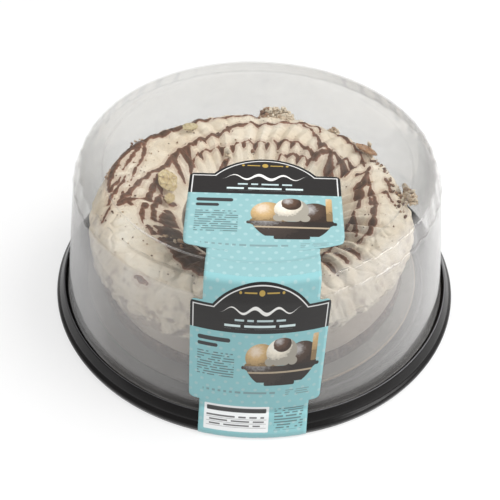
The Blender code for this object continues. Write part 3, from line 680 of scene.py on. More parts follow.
def smooth_path(points):
    """A curve through places of a strand, as plan x, y and half width in mm."""
    points = np.array(points, float)
    azimuth = np.radians(points[:, 0])
    plan = np.stack([
        points[:, 1] * np.sin(azimuth), -points[:, 1] * np.cos(azimuth), points[:, 2],
    ], -1)
    ends = np.concatenate([2 * plan[:1] - plan[1:2], plan, 2 * plan[-1:] - plan[-2:-1]])
    out = []
    for a, b, c, d in zip(ends, ends[1:], ends[2:], ends[3:]):
        for t in np.arange(STRAND_STEPS) / STRAND_STEPS:
            out.append(0.5 * (2 * b + (c - a) * t + (2 * a - 5 * b + 4 * c - d) * t**2
                              + (3 * b - a - 3 * c + d) * t**3))
    out.append(plan[-1])
    return np.array(out)


def strand_depth(x, y):
    """How far each place lies inside the edge of a strand, in mm; negative outside it."""
    paths = [smooth_path(strand) for strand in STRANDS]
    for valley, radius, length in POOLS:
        azimuth, tip = valley * 360 / RIDGES, radius - POOL_FALL * length
        pool = (azimuth, radius, POOL_TOP_HALF), (azimuth, tip, POOL_TIP_HALF)
        paths.append(smooth_path(pool))
    depth = np.full(x.shape, NO_SAUCE)
    for path in paths:
        reach = path[:, 2].max() + STRAND_MARGIN
        low, high = path[:, :2].min(0) - reach, path[:, :2].max(0) + reach
        near = np.nonzero((x > low[0]) & (x < high[0]) & (y > low[1]) & (y < high[1]))
        px, py = x[near], y[near]
        best = depth[near]
        for (ax, ay, aw), (bx, by, bw) in zip(path, path[1:]):
            dx, dy = bx - ax, by - ay
            share = np.clip(((px - ax) * dx + (py - ay) * dy) / (dx * dx + dy * dy + 1e-9), 0, 1)
            gap = np.hypot(px - ax - share * dx, py - ay - share * dy)
            best = np.maximum(best, STRAND_SPREAD * (aw + share * (bw - aw)) - gap)
        depth[near] = best
    return depth


def sauce_depth(radius, azimuth):
    """The strands' depth, wider in the valleys, uneven at the edge and streaked at the left."""
    plan = polar(radius, azimuth, 0.0)
    depth = strand_depth(plan[..., 0], plan[..., 1])
    depth += 1.5 * (ridge_cut(azimuth) - 0.35) * (radius < 85)
    depth += 0.7 * lumpy(plan, 2.8) + 0.45 * lumpy(plan, 1.2, 4.0)
    across = np.stack(np.broadcast_arrays(azimuth * 15.0, radius / 12.0, 0.0), -1)
    degrees = in_degrees(azimuth)
    smeared = (degrees > SMEAR_START) * (degrees < SMEAR_END)
    smeared = smeared * (radius > SMEAR_INNER) * (radius < SMEAR_OUTER)
    return depth - smeared * 9.0 * np.clip(lumpy(across, 1.0, 2.0) - 0.06, 0, 1)


def cream_places():
    """Rows over the top, down the outer side and back under, and the finish of the first rows."""
    azimuth = turns(CREAM_COLUMNS)[None]
    top = np.concatenate([
        np.linspace(CREAM_START, CREAM_SHOULDER, 80),
        np.linspace(CREAM_SHOULDER + 0.5, CREAM_OUTER, 18),
    ])[:, None]
    radius_top, azimuth_top = np.broadcast_arrays(top, azimuth)
    height = cream_height(radius_top, azimuth_top)
    edge = np.clip((top - CREAM_SHOULDER) / (CREAM_OUTER - CREAM_SHOULDER), 0, 1)
    radius = top + edge * rim_push(azimuth)
    sauce = sauce_depth(radius_top, azimuth_top)
    sauce[top[:, 0] > 94] = NO_SAUCE
    # painted shade: how deep each place lies in a valley, to darken the cream there
    fold = ridge_cut(azimuth_top) * section_at(radius_top, 2) / DEEPEST_RIDGE
    places = [polar(radius, azimuth, height + SAUCE_THICKNESS * np.clip(sauce / 1.3, 0, 1) ** 0.6)]
    # rubbed thin in patches along the rim, and bare in more and more of them down the side
    wear_and_painted_glint = lumpy(polar(radius, azimuth, height), 5.0, 7.0)
    wear_and_painted_glint += 0.5 * lumpy(polar(radius, azimuth, 0.0), 2.3, 3.0)
    thin = [np.clip((wear_and_painted_glint - 0.12) * 2.6, 0, 1) * np.clip((radius - 87) / 6, 0, 1) * 0.7]
    low = drape_height(azimuth)
    rim = height[-1:]
    bulge = 0.5 * np.sin(9 * azimuth + 0.7) + rim_push(azimuth)
    for t in np.linspace(0.0, 1.0, 34)[1:]:
        down = rim + t * (low + 1.2 - rim)
        out = CREAM_OUTER + bulge * (1 - 0.4 * t)
        sag = polar(out, azimuth, down)
        patch = lumps(sag, (1.0, 7.0, 2.0), (0.5, 2.6, 5.0))
        bare = np.clip((patch + (46 - down) / 70) * 3.4, 0, 1) * np.clip((60 - down) / 4, 0, 1)
        rough = lumps(sag, (1.3, 8.0, 1.0), (0.9, 3.0, 8.0), (0.35, 1.4, 3.0))
        places.append(polar(out + rough * min(1.0, 4 * t) - 1.0 * bare, azimuth, down))
        thin.append(bare)
    for out, down in ((CREAM_OUTER - 1.2, 0.3), (CREAM_BACK + 0.6, 0.0), (CREAM_BACK, 0.6)):
        places.append(polar(out, azimuth, low + down))
    places.append(polar(CREAM_BACK, azimuth, CREAM_BASE))
    places.append(polar(CREAM_INNER, azimuth, CREAM_BASE))
    places = np.concatenate(places)
    thin = np.concatenate(thin)
    return places, {"sauce_depth": (NO_SAUCE, sauce), "fold": (0.0, fold), "thin": (0.0, thin)}


def cream_mesh():
    places, finish = cream_places()
    mesh = grid_mesh("cream_ring", places * MM + CAKE_PLACE, looped=True)
    for name, (elsewhere, rows) in finish.items():
        values = np.full(places.shape[:2], elsewhere, np.float32)
        values[: len(rows)] = rows
        mesh.attributes.new(name, "FLOAT", "POINT").data.foreach_set("value", values.reshape(-1))
    return mesh


cream_finish, cream_shader, cream_place = new_finish("cream with fudge drizzle")
sauce = cream_place.held("sauce_depth")
sauced = sauce.above(0.0, 0.4)
cream_tone = cream_place.noise(70.0, 4.0)
pitted = cream_place.noise(650.0, 4.0, 0.6)
cream_colour = cream_tone.ramp((
    (0.30, (0.80, 0.69, 0.54)), (0.50, (0.88, 0.795, 0.66)), (0.70, (0.93, 0.87, 0.76)),
))
tinged = cream_place.noise(36.0, 3.0, 0.5).above(0.5, 0.2)
stained = (1.2 - (sauce + 0.9).abs()).clamp()
chosen = 0.20 * cream_place.cells(330.0, "Color").channel("Red") - cream_place.cells(330.0)
specks = chosen.above(0.03, 0.05) * cream_place.noise(28.0, 2.0).above(0.5, 0.2)
# over the cream's tone: tinges, painted shade in the valleys, bare patches, sauce stains, specks
for colour, share in (
    ((0.80, 0.64, 0.44), 0.3 * tinged), ((0.50, 0.345, 0.22), 0.26 * cream_place.held("fold")),
    ((0.40, 0.33, 0.29), 0.7 * cream_place.held("thin")), ((0.40, 0.20, 0.13), 0.3 * stained),
    ((0.13, 0.075, 0.05), 0.7 * specks),
):
    cream_colour = cream_colour.mix(colour, share)
streaky = cream_place.noise(190.0, 4.0, 0.6)
sauce_colour = (sauce / 6.0 + 1.6 * (0.5 - streaky) * (sauce / 3.0).clamp()).ramp((
    (0.0, (0.32, 0.145, 0.090)), (0.12, (0.17, 0.085, 0.052)), (0.35, (0.120, 0.066, 0.041)),
    (0.75, (0.075, 0.042, 0.025)),
))
feed(
    cream_shader,
    Base_Color=cream_colour.mix(sauce_colour, sauced),
    Roughness=0.55 - 0.25 * sauced + 0.1 * cream_tone,
    Normal=cream_place.bump(
        (1 - sauced) * pitted + 0.25 * cream_place.noise(1500.0, 2.0), 0.45 * MM
    ),
)
new_piece("cream_ring", cream_mesh(), cream_finish, "cream", "cream_ring")


# Crumbs. Broken chocolate biscuit and golden crumbs, strewn over the ring by hand, thicker at
# the left and along the rim at the right.
def crumb_shape(bm, place, size, draw):
    """Adds one broken crumb: a small ball, dented, flattened and turned at random."""
    made = bmesh.ops.create_icosphere(bm, subdivisions=2 if size > 1.6 else 1, radius=1.0)
    turn = Matrix.Rotation(draw.uniform(0, 6.28), 4, Vector((
        draw.uniform(-1, 1), draw.uniform(-1, 1), draw.uniform(-1, 1))).normalized())
    seed = Vector((draw.uniform(0, 99), draw.uniform(0, 99), draw.uniform(0, 99)))
    stretch = Vector((draw.uniform(0.8, 1.3), draw.uniform(0.7, 1.1), 0.7))
    for vertex in made["verts"]:
        dent = 1 + 0.45 * noise.noise(vertex.co * 1.6 + seed) - 0.12 * draw.random()
        co = turn @ Vector(a * b for a, b in zip(vertex.co * dent, stretch))
        vertex.co = Vector(place) + co * size / 2
    return made["verts"]


def crumb_mesh(name, crumbs, seed):
    """Crumbs as one mesh: each with a place in mm, a size and a tone from 0 to 1."""
    draw = random.Random(seed)
    bm = bmesh.new()
    tones = bm.verts.layers.float.new("tone")
    for place, size, tone in crumbs:
        for vertex in crumb_shape(bm, place, size, draw):
            vertex[tones] = tone
    bmesh.ops.scale(bm, vec=(MM, MM, MM), verts=bm.verts)
    bmesh.ops.translate(bm, vec=Vector(CAKE_PLACE), verts=bm.verts)
    mesh = bpy.data.meshes.new(name)
    bm.to_mesh(mesh)
    bm.free()
    mesh.shade_smooth()
    return mesh


# Where crumbs lie: azimuth from and to, radius from and to, how many, and the largest size
STREWN = (
    (-125, -75, 70, 92, 70, 1.6), (-180, -125, 58, 90, 46, 1.5), (-75, -30, 66, 92, 26, 1.4),
    (30, 100, 58, 88, 40, 1.4), (100, 180, 56, 90, 50, 1.5), (98, 122, 84, 92, 38, 2.7),
    (122, 134, 86, 92, 16, 2.4), (84, 102, 85, 92, 28, 2.7), (-40, 40, 60, 90, 30, 1.4),
)


def strewn_crumbs():
    draw = random.Random(5)
    crumbs = []
    for start, end, inner, outer, count, largest in STREWN:
        for _ in range(count):
            azimuth, radius = draw.uniform(start, end), draw.uniform(inner, outer)
            size = largest * draw.uniform(0.35, 1.0) ** 1.3
            angle = np.array([math.radians(azimuth)])
            height = cream_height(np.array([radius]), angle)[0] + 0.25 * size
            place = polar(radius, angle[0], height)
            crumbs.append((tuple(place), size, draw.random() ** 1.4))
    return crumbs


def crumb_finish(name, roughness, stops):
    """A crumb's material, coloured by its tone between stops."""
    finish, shader, place = new_finish(name, Roughness=roughness)
    tone = place.held("tone") + 0.25 * (place.noise(1200.0, 3.0) - 0.5)
    rough = place.bump(place.noise(1500.0, 4.0), 0.25 * MM)
    feed(shader, Base_Color=tone.ramp(stops), Normal=rough)
    return finish


strewn_finish = crumb_finish("strewn crumbs", 0.8, (
    (0.0, (0.15, 0.085, 0.060)), (0.45, (0.27, 0.155, 0.105)), (0.75, (0.48, 0.32, 0.20)),
    (1.0, (0.66, 0.52, 0.34)),
))
new_piece(
    "strewn_crumbs", crumb_mesh("strewn_crumbs", strewn_crumbs(), 8), strewn_finish, "biscuit",
    "cream_ring",
)


# Fudge centre. Thick fudge sauce poured into the middle of the ring, lumpy with broken biscuit;
# it is the one dark, wet field of the cake.
FUDGE_RADIUS = 41.8
FUDGE_TOP = 51.0
FUDGE_COLUMNS = 240


def fudge_places():
    azimuth = turns(FUDGE_COLUMNS)[None]
    share = np.concatenate([np.linspace(0.0, 0.97, 46), [0.99, 1.0, 1.0]])[:, None]
    height = np.full((share.size, FUDGE_COLUMNS), FUDGE_TOP)
    height[-3], height[-2], height[-1] = FUDGE_TOP - 0.3, FUDGE_TOP - 0.8, CREAM_BASE
    flat = polar(FUDGE_RADIUS * share, azimuth, 0.0)
    height[:-1] += lumps(flat, (1.0, 8.0, 0.0), (0.45, 3.4, 5.0), (0.25, 1.6, 2.0))[:-1]
    return polar(FUDGE_RADIUS * share, azimuth, height) * MM + CAKE_PLACE


fudge_finish, fudge_shader, fudge_place = new_finish("fudge sauce")
fudge_tone = fudge_place.noise(160.0, 5.0, 0.6)
feed(
    fudge_shader,
    Base_Color=fudge_tone.ramp((
        (0.35, (0.035, 0.018, 0.013)), (0.58, (0.070, 0.036, 0.025)), (0.72, (0.19, 0.11, 0.07)),
    )),
    Roughness=0.22 + 0.5 * fudge_tone,
    Normal=fudge_place.bump(fudge_place.noise(420.0, 4.0), 0.5 * MM),
)
fudge_mesh = weld(grid_mesh("fudge_centre", fudge_places()), fill=True)
new_piece("fudge_centre", fudge_mesh, fudge_finish, "fudge", "fudge_centre")


# Biscuit. Five flakes, golden, toasted, pale and crumbled, that lie on the cream where they
# fell. Each is broken from a baked sheet, so its faces are rough.
BROKEN_DEPTH = 0.45 * MM
BROKEN_LUMP = 3.4 * MM


def broken_mesh(node):
    """A node's own shape with its faces cut finer and made rough."""
    bm = bmesh.new()
    bm.from_mesh(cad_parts[node].data)
    bmesh.ops.subdivide_edges(bm, edges=bm.edges, cuts=3, use_grid_fill=True)
    bmesh.ops.smooth_vert(bm, verts=bm.verts, factor=0.5, use_axis_x=True, use_axis_y=True,
                          use_axis_z=True)
    bm.normal_update()
    for vertex in bm.verts:
        step = noise.noise(vertex.co / BROKEN_LUMP)
        step += 0.5 * noise.noise(vertex.co / (BROKEN_LUMP / 2.7))
        vertex.co += vertex.normal * BROKEN_DEPTH * (step - 0.35)
    mesh = bpy.data.meshes.new(node)
    bm.to_mesh(mesh)
    bm.free()
    mesh.shade_smooth()
    return mesh


def biscuit_material(name, dark, middle, pale):
    finish, shader, place = new_finish(name, Roughness=0.75)
    colour = place.noise(190.0, 4.0, 0.55).ramp(((0.28, dark), (0.46, middle), (0.66, pale)))
    feed(
        shader, Base_Color=colour, Normal=place.bump(place.noise(700.0, 4.0, 0.55), 0.3 * MM)
    )
    return finish


golden = biscuit_material("golden biscuit", (0.52, 0.37, 0.19), (0.72, 0.58, 0.33),
                          (0.80, 0.70, 0.45))
toasted = biscuit_material("toasted biscuit", (0.19, 0.085, 0.05), (0.46, 0.25, 0.13),
                           (0.60, 0.40, 0.25))
pale = biscuit_material("pale biscuit", (0.55, 0.44, 0.26), (0.70, 0.60, 0.37), (0.78, 0.70, 0.48))
crumbled = biscuit_material("crumbled biscuit", (0.17, 0.10, 0.07), (0.42, 0.32, 0.22),
                            (0.64, 0.54, 0.40))
for number, finish in enumerate((golden, golden, toasted, pale, crumbled), 1):
    node = f"biscuit_flake_{number}"
    new_piece(node, broken_mesh(node), finish, "biscuit", node)


# Heaps. Loose crumbs of the same biscuit that fell together: a clump at the back of the ring,
# another on its rim at the right, and a few small ones and thin shards that lie apart.
HEAP_LIMIT = 99.5
HEAP_FOOT_LIMIT = 91.0
# Each heap: radius, azimuth in degrees, half width and half depth, how many, largest size,
# height, and the tone of its palest crumbs
HEAPS = (
    (88.5, 172.0, 8.0, 3.0, 30, 7.0, 3.0, 0.8), (89.5, 171.5, 11.5, 4.5, 400, 3.4, 7.5, 1.0),
    (95.0, 97.0, 3.0, 3.0, 10, 6.0, 2.0, 0.6), (95.5, 94.5, 5.5, 4.5, 130, 3.2, 6.5, 0.8),
    (88.0, 124.0, 7.0, 4.0, 30, 2.4, 1.0, 0.7), (92.0, 127.0, 0.9, 0.9, 7, 6.0, 8.5, 1.15),
    (88.0, 144.0, 4.0, 2.0, 24, 3.4, 3.0, 0.85), (57.0, -50.0, 9.0, 4.5, 14, 4.2, 1.2, 0.5),
    (93.0, -124.0, 6.0, 1.4, 18, 2.2, 1.0, 0.45), (92.0, -102.0, 4.5, 1.6, 16, 2.2, 1.0, 0.4),
    (53.5, -160.0, 2.4, 2.6, 6, 5.2, 0.8, 0.95), (56.5, -178.5, 0.8, 0.5, 2, 3.4, 0.5, 0.3),
)
draw = random.Random(17)
heap = []
for radius, degrees, wide, deep, count, largest, tall, palest in HEAPS:
    for _ in range(count):
        side, across, up = draw.uniform(-0.95, 0.95), draw.gauss(0, 0.5), draw.random()
        azimuth = math.radians(degrees) - side * wide / radius
        out = min(radius + across * deep, HEAP_LIMIT)
        size = largest * draw.uniform(0.3, 1.0)
        foot = min(out, HEAP_FOOT_LIMIT)
        height = cream_height(np.array([foot]), np.array([azimuth]))[0]
        height += 0.1 * size + up * max(0.0, tall * (1 - side**4 - across * across))
        tone = 0.45 + 0.55 * draw.random() - (0.4 if side < -0.45 else 0.0)
        heap.append((tuple(polar(out, azimuth, height)), size, tone * palest))
heap_finish = crumb_finish("heaped crumbs", 0.85, (
    (0.0, (0.20, 0.095, 0.06)), (0.3, (0.46, 0.30, 0.19)), (0.5, (0.68, 0.56, 0.42)),
    (1.0, (0.86, 0.79, 0.66)),
))
new_piece(
    "heaped_crumbs", crumb_mesh("heaped_crumbs", heap, 9), heap_finish, "biscuit", "crumb_clump"
)


# Lid. One clear sheet drawn over a mould: a sunk disc, a flat ring, a fluted shoulder and a
# wall that widens down to the flange that snaps on the tray's lip.
LID_SHEET = 0.8 * MM
LID_COLUMNS, LID_ROW_STEP = 480, 4.0 * MM
FLUTES = 48
FLUTE_DEPTH = 1.0 * MM
FLUTE_FOOT, FLUTE_TOP = 86.4 * MM, 97.5 * MM
DISC_EDGE, LID_RIDGE, SHOULDER_FOOT = 88.9 * MM, 101.5 * MM, 105.0 * MM
WALL_TOP = 86.5 * MM
LID_PROFILE = (
    (0.0, 95.9), (88.0, 95.9), (89.4, 97.3), (100.8, 97.5), (102.4, 96.5), (104.35, 91.95),
    (105.75, 87.9), (106.65, 87.1), (106.45, 85.9), (117.1, 22.0), (118.5, 9.5), (119.4, 9.1),
)


def lid_mesh():
    profile = rounded(LID_PROFILE, 0.7, 5)
    steps = []
    for (r0, z0), (r1, z1) in zip(profile, profile[1:]):
        count = max(1, int(math.hypot(r1 - r0, z1 - z0) / LID_ROW_STEP))
        for k in range(count):
            steps.append((r0 + (r1 - r0) * k / count, z0 + (z1 - z0) * k / count))
    steps.append(tuple(profile[-1]))
    steps = np.array(steps)
    radius, height = steps[:, 0, None], steps[:, 1, None]
    azimuth = turns(LID_COLUMNS)[None]
    middle, reach = (FLUTE_FOOT + FLUTE_TOP) / 2, (FLUTE_TOP - FLUTE_FOOT) / 2 + 2.0 * MM
    share = np.clip(1 - ((height - middle) / reach) ** 2, 0, 1) * (radius > LID_RIDGE)
    flutes = FLUTE_DEPTH * share * (0.5 - 0.5 * np.cos(FLUTES * azimuth))
    places = polar(radius - flutes, azimuth, height)
    # the thin sheet isn't quite even: its wall is drawn in and its top sinks, more here than there
    wall = np.clip((radius - 104.0 * MM) / (4 * MM), 0, 1)
    drawn = places * np.array((1.0, 1.0, 0.35))
    push = -0.25 * MM * wall * (1 + lumpy(drawn, 16 * MM))
    sink = -0.12 * MM * (1 - wall) * (1 + lumpy(places, 24 * MM, 3.0))
    places = polar(radius - flutes + push, azimuth, height + sink)
    return weld(grid_mesh("clear_lid", places))


lid_finish, lid_shader, lid_place = new_finish("clear formed plastic")
lid_tree = lid_finish.node_tree
lid_tree.nodes.remove(lid_shader)
facing = lid_place.node("ShaderNodeLayerWeight", {}, {"Blend": 0.5}, "Facing")
smeared = lid_place.noise(30.0, 4.0, 0.6)
frosted = lid_place.noise(11.0, 3.0, 0.5)
from_axis = lid_place.from_axis()
height = lid_place.channel("Z")
to_left, to_front = 0 - lid_place.channel("X"), 0 - lid_place.channel("Y")
wall = 1 - height.above(WALL_TOP, 3.0 * MM)
on_top = height.above(95.0 * MM, 1.0 * MM)
rightward = (0.5 - to_left / 0.16).clamp()
leftward = (to_left / 0.09 - 0.3).clamp()
frontward = (0.5 + to_front / 0.14).clamp()
# the sheet mirrors less towards the left: painted shade for the weaker light there
mirrored = 0.04 + (0.34 + 0.46 * rightward) * facing ** 4.0

# where the sheet is whitened: painted highlights as pale lines on its bends at the disc's edge,
# brightest at the left front, and at the shoulder's foot, a painted sheen on the shoulder that
# grows to the right, faint smears, a haze over the wall, and fog on the inside of the wall at the
# left
wear_and_painted_glint = to_front.above(62.0 * MM, 14.0 * MM) * (1 - 1.6 * rightward).clamp()
disc_edge = from_axis.near(DISC_EDGE, 0.85 * MM) * on_top
foot = height.near(WALL_TOP + 0.4 * MM, 0.45 * MM) * from_axis.above(SHOULDER_FOOT, 0.5 * MM)
haze = 0.04 + frontward * (0.062 + 0.05 * frosted.above(0.5, 0.3) + 0.08 * facing ** 2.0)
fog_and_shade_at_left = (to_left / (20.0 * MM) - 4.0).clamp() * frontward
fog = fog_and_shade_at_left * (0.24 + 0.16 * smeared) * (1.0 - 0.5 * height.above(70.0 * MM, 16.0 * MM))
haze_and_painted_highlights = 0.006 + 0.022 * smeared.above(0.55, 0.25) + foot * (0.06 + 0.2 * smeared)
haze_and_painted_highlights = haze_and_painted_highlights + disc_edge * (0.05 + 1.1 * wear_and_painted_glint) + wall * (haze + fog)
haze_and_painted_highlights = haze_and_painted_highlights + from_axis.above(99.0 * MM, 6.0 * MM) * (1 - wall) * (0.01 + 0.2 * rightward ** 3.0)

# painted shade, where the sheet lets less through: the wall at the front, more towards the bottom,
# and dark lines on the disc's edge at the left and on the ridge between them; the ridge's line
# stands for the dark fudge refracted in its bend
ridge = from_axis.near(LID_RIDGE, 0.8 * MM) * on_top
ridge = ridge * to_front.above(80.0 * MM, 12.0 * MM) * to_left.above(24.0 * MM, 14.0 * MM)
painted_shade = 0.475 * wall * frontward * (1 - 0.5 * height.above(48.0 * MM, 26.0 * MM))
painted_shade = painted_shade.max(0.5 * disc_edge * leftward * (1 - wear_and_painted_glint).clamp()).max(ridge)


def two_shares(kind, first, second, share):
    """A shader of one colour with a share of the same kind in another colour."""
    pair = [lid_place.node(kind, {}, {"Color": colour}) for colour in (first, second)]
    return lid_place.node("ShaderNodeMixShader", {}, {0: share, 1: pair[0], 2: pair[1]})


sheer = two_shares("ShaderNodeBsdfTransparent", (0.962, 0.962, 0.957), (0.80, 0.79, 0.78), painted_shade)
# the fog's diffuse is a darker grey: painted shade at the left
milky = two_shares("ShaderNodeBsdfDiffuse", (0.66, 0.645, 0.635), (0.46, 0.46, 0.462), fog_and_shade_at_left)
gloss = lid_place.node("ShaderNodeBsdfAnisotropic", {}, {
    "Color": (1.0, 1.0, 1.0), "Roughness": 0.07,
    "Normal": lid_place.bump(lid_place.noise(40.0, 1.0), 0.12 * MM),
})
sheet = lid_place.node("ShaderNodeMixShader", {}, {0: haze_and_painted_highlights, 1: sheer, 2: milky})
sheet = lid_place.node("ShaderNodeMixShader", {}, {0: mirrored, 1: sheet, 2: gloss})
lid_tree.links.new(sheet.socket, lid_tree.nodes["Material Output"].inputs["Surface"])
lid = new_piece("clear_lid", lid_mesh(), lid_finish, "clear_plastic", "clear_lid")
add_sheet(lid, LID_SHEET)


# Label. One strip of coated paper, die cut: a panel on the lid's disc, a neck over the ridge, a
# panel down the wall and a tab that seals the lid to the tray. Its print is plain fields: a dark
# arched header, teal with pale dots, a dish of scoops, and rows of small dashes.
LABEL_SHEET = 0.3 * MM
LABEL_COLUMNS = 40
# Way of the label over the lid and down to the tray's rim: radius and height in mm
LABEL_PATH = (
    (0.0, 96.25), (87.0, 96.25), (89.4, 97.85), (101.1, 97.85), (102.9, 96.9), (106.8, 86.5),
    (117.5, 22.0), (119.0, 13.2), (121.5, 12.2), (125.2, 6.5), (127.1, 4.3), (127.4, 2.8),
    (126.8, 0.6),
)
# Distances along the label, and half widths across it, in mm
ARCH_START, PANEL_START, PANEL_END = 3.0, 17.0, 80.0
ARCH_RADIUS = 36.0
TOP_HALF, NECK_HALF, FRONT_HALF, TAB_HALF = 42.0, 29.5, 36.0, 30.0
FRONT_TOP, FRONT_BOTTOM = 85.6, 19.0
CORNER = 3.0
PANEL_SHOULDER = 28.5
# It lies a little to the right, more so at the top, and takes up the lid's round between these
SHIFT_TOP, SHIFT_BOTTOM = 4.2, 1.0
WRAP_START, WRAP_END = 66.0, 86.0


def lengths_along(path):
    """Distance of each point of a path from its start."""
    return np.concatenate([[0.0], np.cumsum(np.hypot(*np.diff(path, axis=0).T))])


label_path = np.array(LABEL_PATH)
label_lengths = lengths_along(label_path)


def wall_distance(height):
    """Distance along the label at which it passes a height on the lid's wall."""
    share = (label_path[5, 1] - height) / (label_path[5, 1] - label_path[6, 1])
    return label_lengths[5] + share * (label_lengths[6] - label_lengths[5])


FRONT_START = wall_distance(FRONT_TOP)
FRONT_END = wall_distance(FRONT_BOTTOM)


def corner_rows(distance, inner, outer, step):
    """Rows round a corner where the label widens (step 1) or narrows (step -1)."""
    rows = []
    for k in range(7):
        turn = math.radians(90 * k / 6)
        rows.append((distance + step * CORNER * (1 - math.cos(turn)),
                     outer - CORNER + CORNER * math.sin(turn)))
    return [(distance - step * 0.02, inner)] + rows


def straight_rows(start, end, half, count):
    return [(distance, half) for distance in np.linspace(start, end, count)]


def label_rows():
    """Half widths of the label by distance along it: arch, panel, neck, front panel and tab."""
    rise = PANEL_START - ARCH_START
    drops = [rise * (k / 24) ** 1.7 for k in range(1, 24)]
    rows = [(ARCH_START + drop, math.sqrt(2 * ARCH_RADIUS * drop - drop * drop)) for drop in drops]
    rows += corner_rows(PANEL_START, PANEL_SHOULDER, TOP_HALF, 1)
    rows += straight_rows(PANEL_START + CORNER, PANEL_END - CORNER, TOP_HALF, 18)[1:-1]
    rows += corner_rows(PANEL_END, NECK_HALF, TOP_HALF, -1)
    rows += straight_rows(PANEL_END + 0.8, FRONT_START - 0.8, NECK_HALF, 34)
    rows += corner_rows(FRONT_START, NECK_HALF + 1.0, FRONT_HALF, 1)
    rows += straight_rows(FRONT_START + CORNER, FRONT_END - CORNER, FRONT_HALF, 22)[1:-1]
    rows += corner_rows(FRONT_END, TAB_HALF, FRONT_HALF, -1)
    rows += straight_rows(FRONT_END + 0.6, label_lengths[-1], TAB_HALF, 34)
    return np.array(sorted(rows))


def label_mesh():
    rows = label_rows()
    distance, half = rows[:, 0, None], rows[:, 1, None]
    bent = rounded(LABEL_PATH, 0.9, 4) / MM
    lengths = lengths_along(bent)
    lengths *= label_lengths[-1] / lengths[-1]
    radius = np.interp(distance, lengths, bent[:, 0])
    height = np.interp(distance, lengths, bent[:, 1])
    down = np.clip((distance - label_lengths[4]) / (label_lengths[-1] - label_lengths[4]), 0, 1)
    across = half * np.linspace(-1, 1, LABEL_COLUMNS + 1)[None]
    side = across + SHIFT_TOP + down * (SHIFT_BOTTOM - SHIFT_TOP)
    wrap = np.clip((distance - WRAP_START) / (WRAP_END - WRAP_START), 0, 1) ** 1.5
    # flat across the disc, bent round the wall, and a blend of the two over the ridge
    flat = np.stack(np.broadcast_arrays(side, -radius, height), -1)
    places = flat + (polar(radius, side / radius, height) - flat) * wrap[..., None]
    from_axis = np.hypot(places[..., 0], places[..., 1])
    over_top = np.interp(from_axis, bent[: len(bent) // 2, 0], bent[: len(bent) // 2, 1])
    places[..., 2] = np.where(wrap < 1, over_top, places[..., 2])
    mesh = grid_mesh("label", places * MM, around=False)
    corners = np.zeros(len(mesh.loops), np.int64)
    mesh.loops.foreach_get("vertex_index", corners)
    print_place = np.stack([across, distance + 0 * across], -1).reshape(-1, 2)[corners]
    mesh.uv_layers.new(name="print_mm").data.foreach_set(
        "uv", print_place.reshape(-1).astype(np.float32))
    return mesh


label_finish, label_shader, label_place = new_finish(
    "printed label paper", Specular_IOR_Level=0.3
)
uv = label_place.node("ShaderNodeUVMap", {"uv_map": "print_mm"}, {})
across, along = uv.channel("X"), uv.channel("Y")
HEADER_FRONT_START = label_lengths[3] + 1.0
on_front = along.above(HEADER_FRONT_START - 3.0, 0.05)
x = across * (1 + on_front * (TOP_HALF / FRONT_HALF - 1))
v = along - ARCH_START - on_front * (HEADER_FRONT_START - ARCH_START)
tab_print = across, along - HEADER_FRONT_START
SOFT_EDGE = 0.25


def box(left, right, top, bottom, corner=0.0, at=(x, v)):
    """Mask of a field of print, in mm, with square or rounded corners."""
    dx = (at[0] - (left + right) / 2).abs() - ((right - left) / 2 - corner)
    dv = (at[1] - (top + bottom) / 2).abs() - ((bottom - top) / 2 - corner)
    if corner == 0:
        return (0 - dx.max(dv)).above(0.0, SOFT_EDGE)
    return (corner - dx.max(0).hypot(dv.max(0))).above(0.0, SOFT_EDGE)


def disc(middle_x, middle_v, radius):
    return (radius - (x - middle_x).hypot(v - middle_v)).above(0.0, SOFT_EDGE)


def dashes(left, right, top, bottom, pitch, thickness, length, seed, at=(x, v)):
    """Rows of dashes of uneven length in a field."""
    down = (at[1] - top) / pitch
    row = down.floor()
    cell = (at[0] / length + row * 0.37).floor()
    place = cell.node("ShaderNodeCombineXYZ", {}, {0: cell, 1: row, 2: seed})
    chance = place.node("ShaderNodeTexWhiteNoise", {"noise_dimensions": "3D"}, {"Vector": place})
    inked = chance.above(0.22, 0.02) * (thickness / pitch - (down - row)).above(0.0, 0.12)
    return inked * box(left, right, top, bottom, at=at)


# the ground: teal, with staggered pale dots, and brighter down the front
DOT_PITCH_X, DOT_PITCH_V, DOT_RADIUS = 6.4, 4.6, 1.05
row = (along / DOT_PITCH_V).floor()
odd = row - 2 * (row / 2).floor()
dot_x = across / DOT_PITCH_X + 0.5 * odd
dot_x = (dot_x - dot_x.floor() - 0.5) * DOT_PITCH_X
dot_v = (along / DOT_PITCH_V - row - 0.5) * DOT_PITCH_V
dots = (DOT_RADIUS - dot_x.hypot(dot_v)).above(0.0, 0.5)
paint = (0.5 * dots).ramp(((0.0, (0.262, 0.465, 0.48)), (1.0, (0.42, 0.60, 0.61))))
layers = [((0.25, 0.51, 0.535), on_front * (1 - dots) * 0.9)]

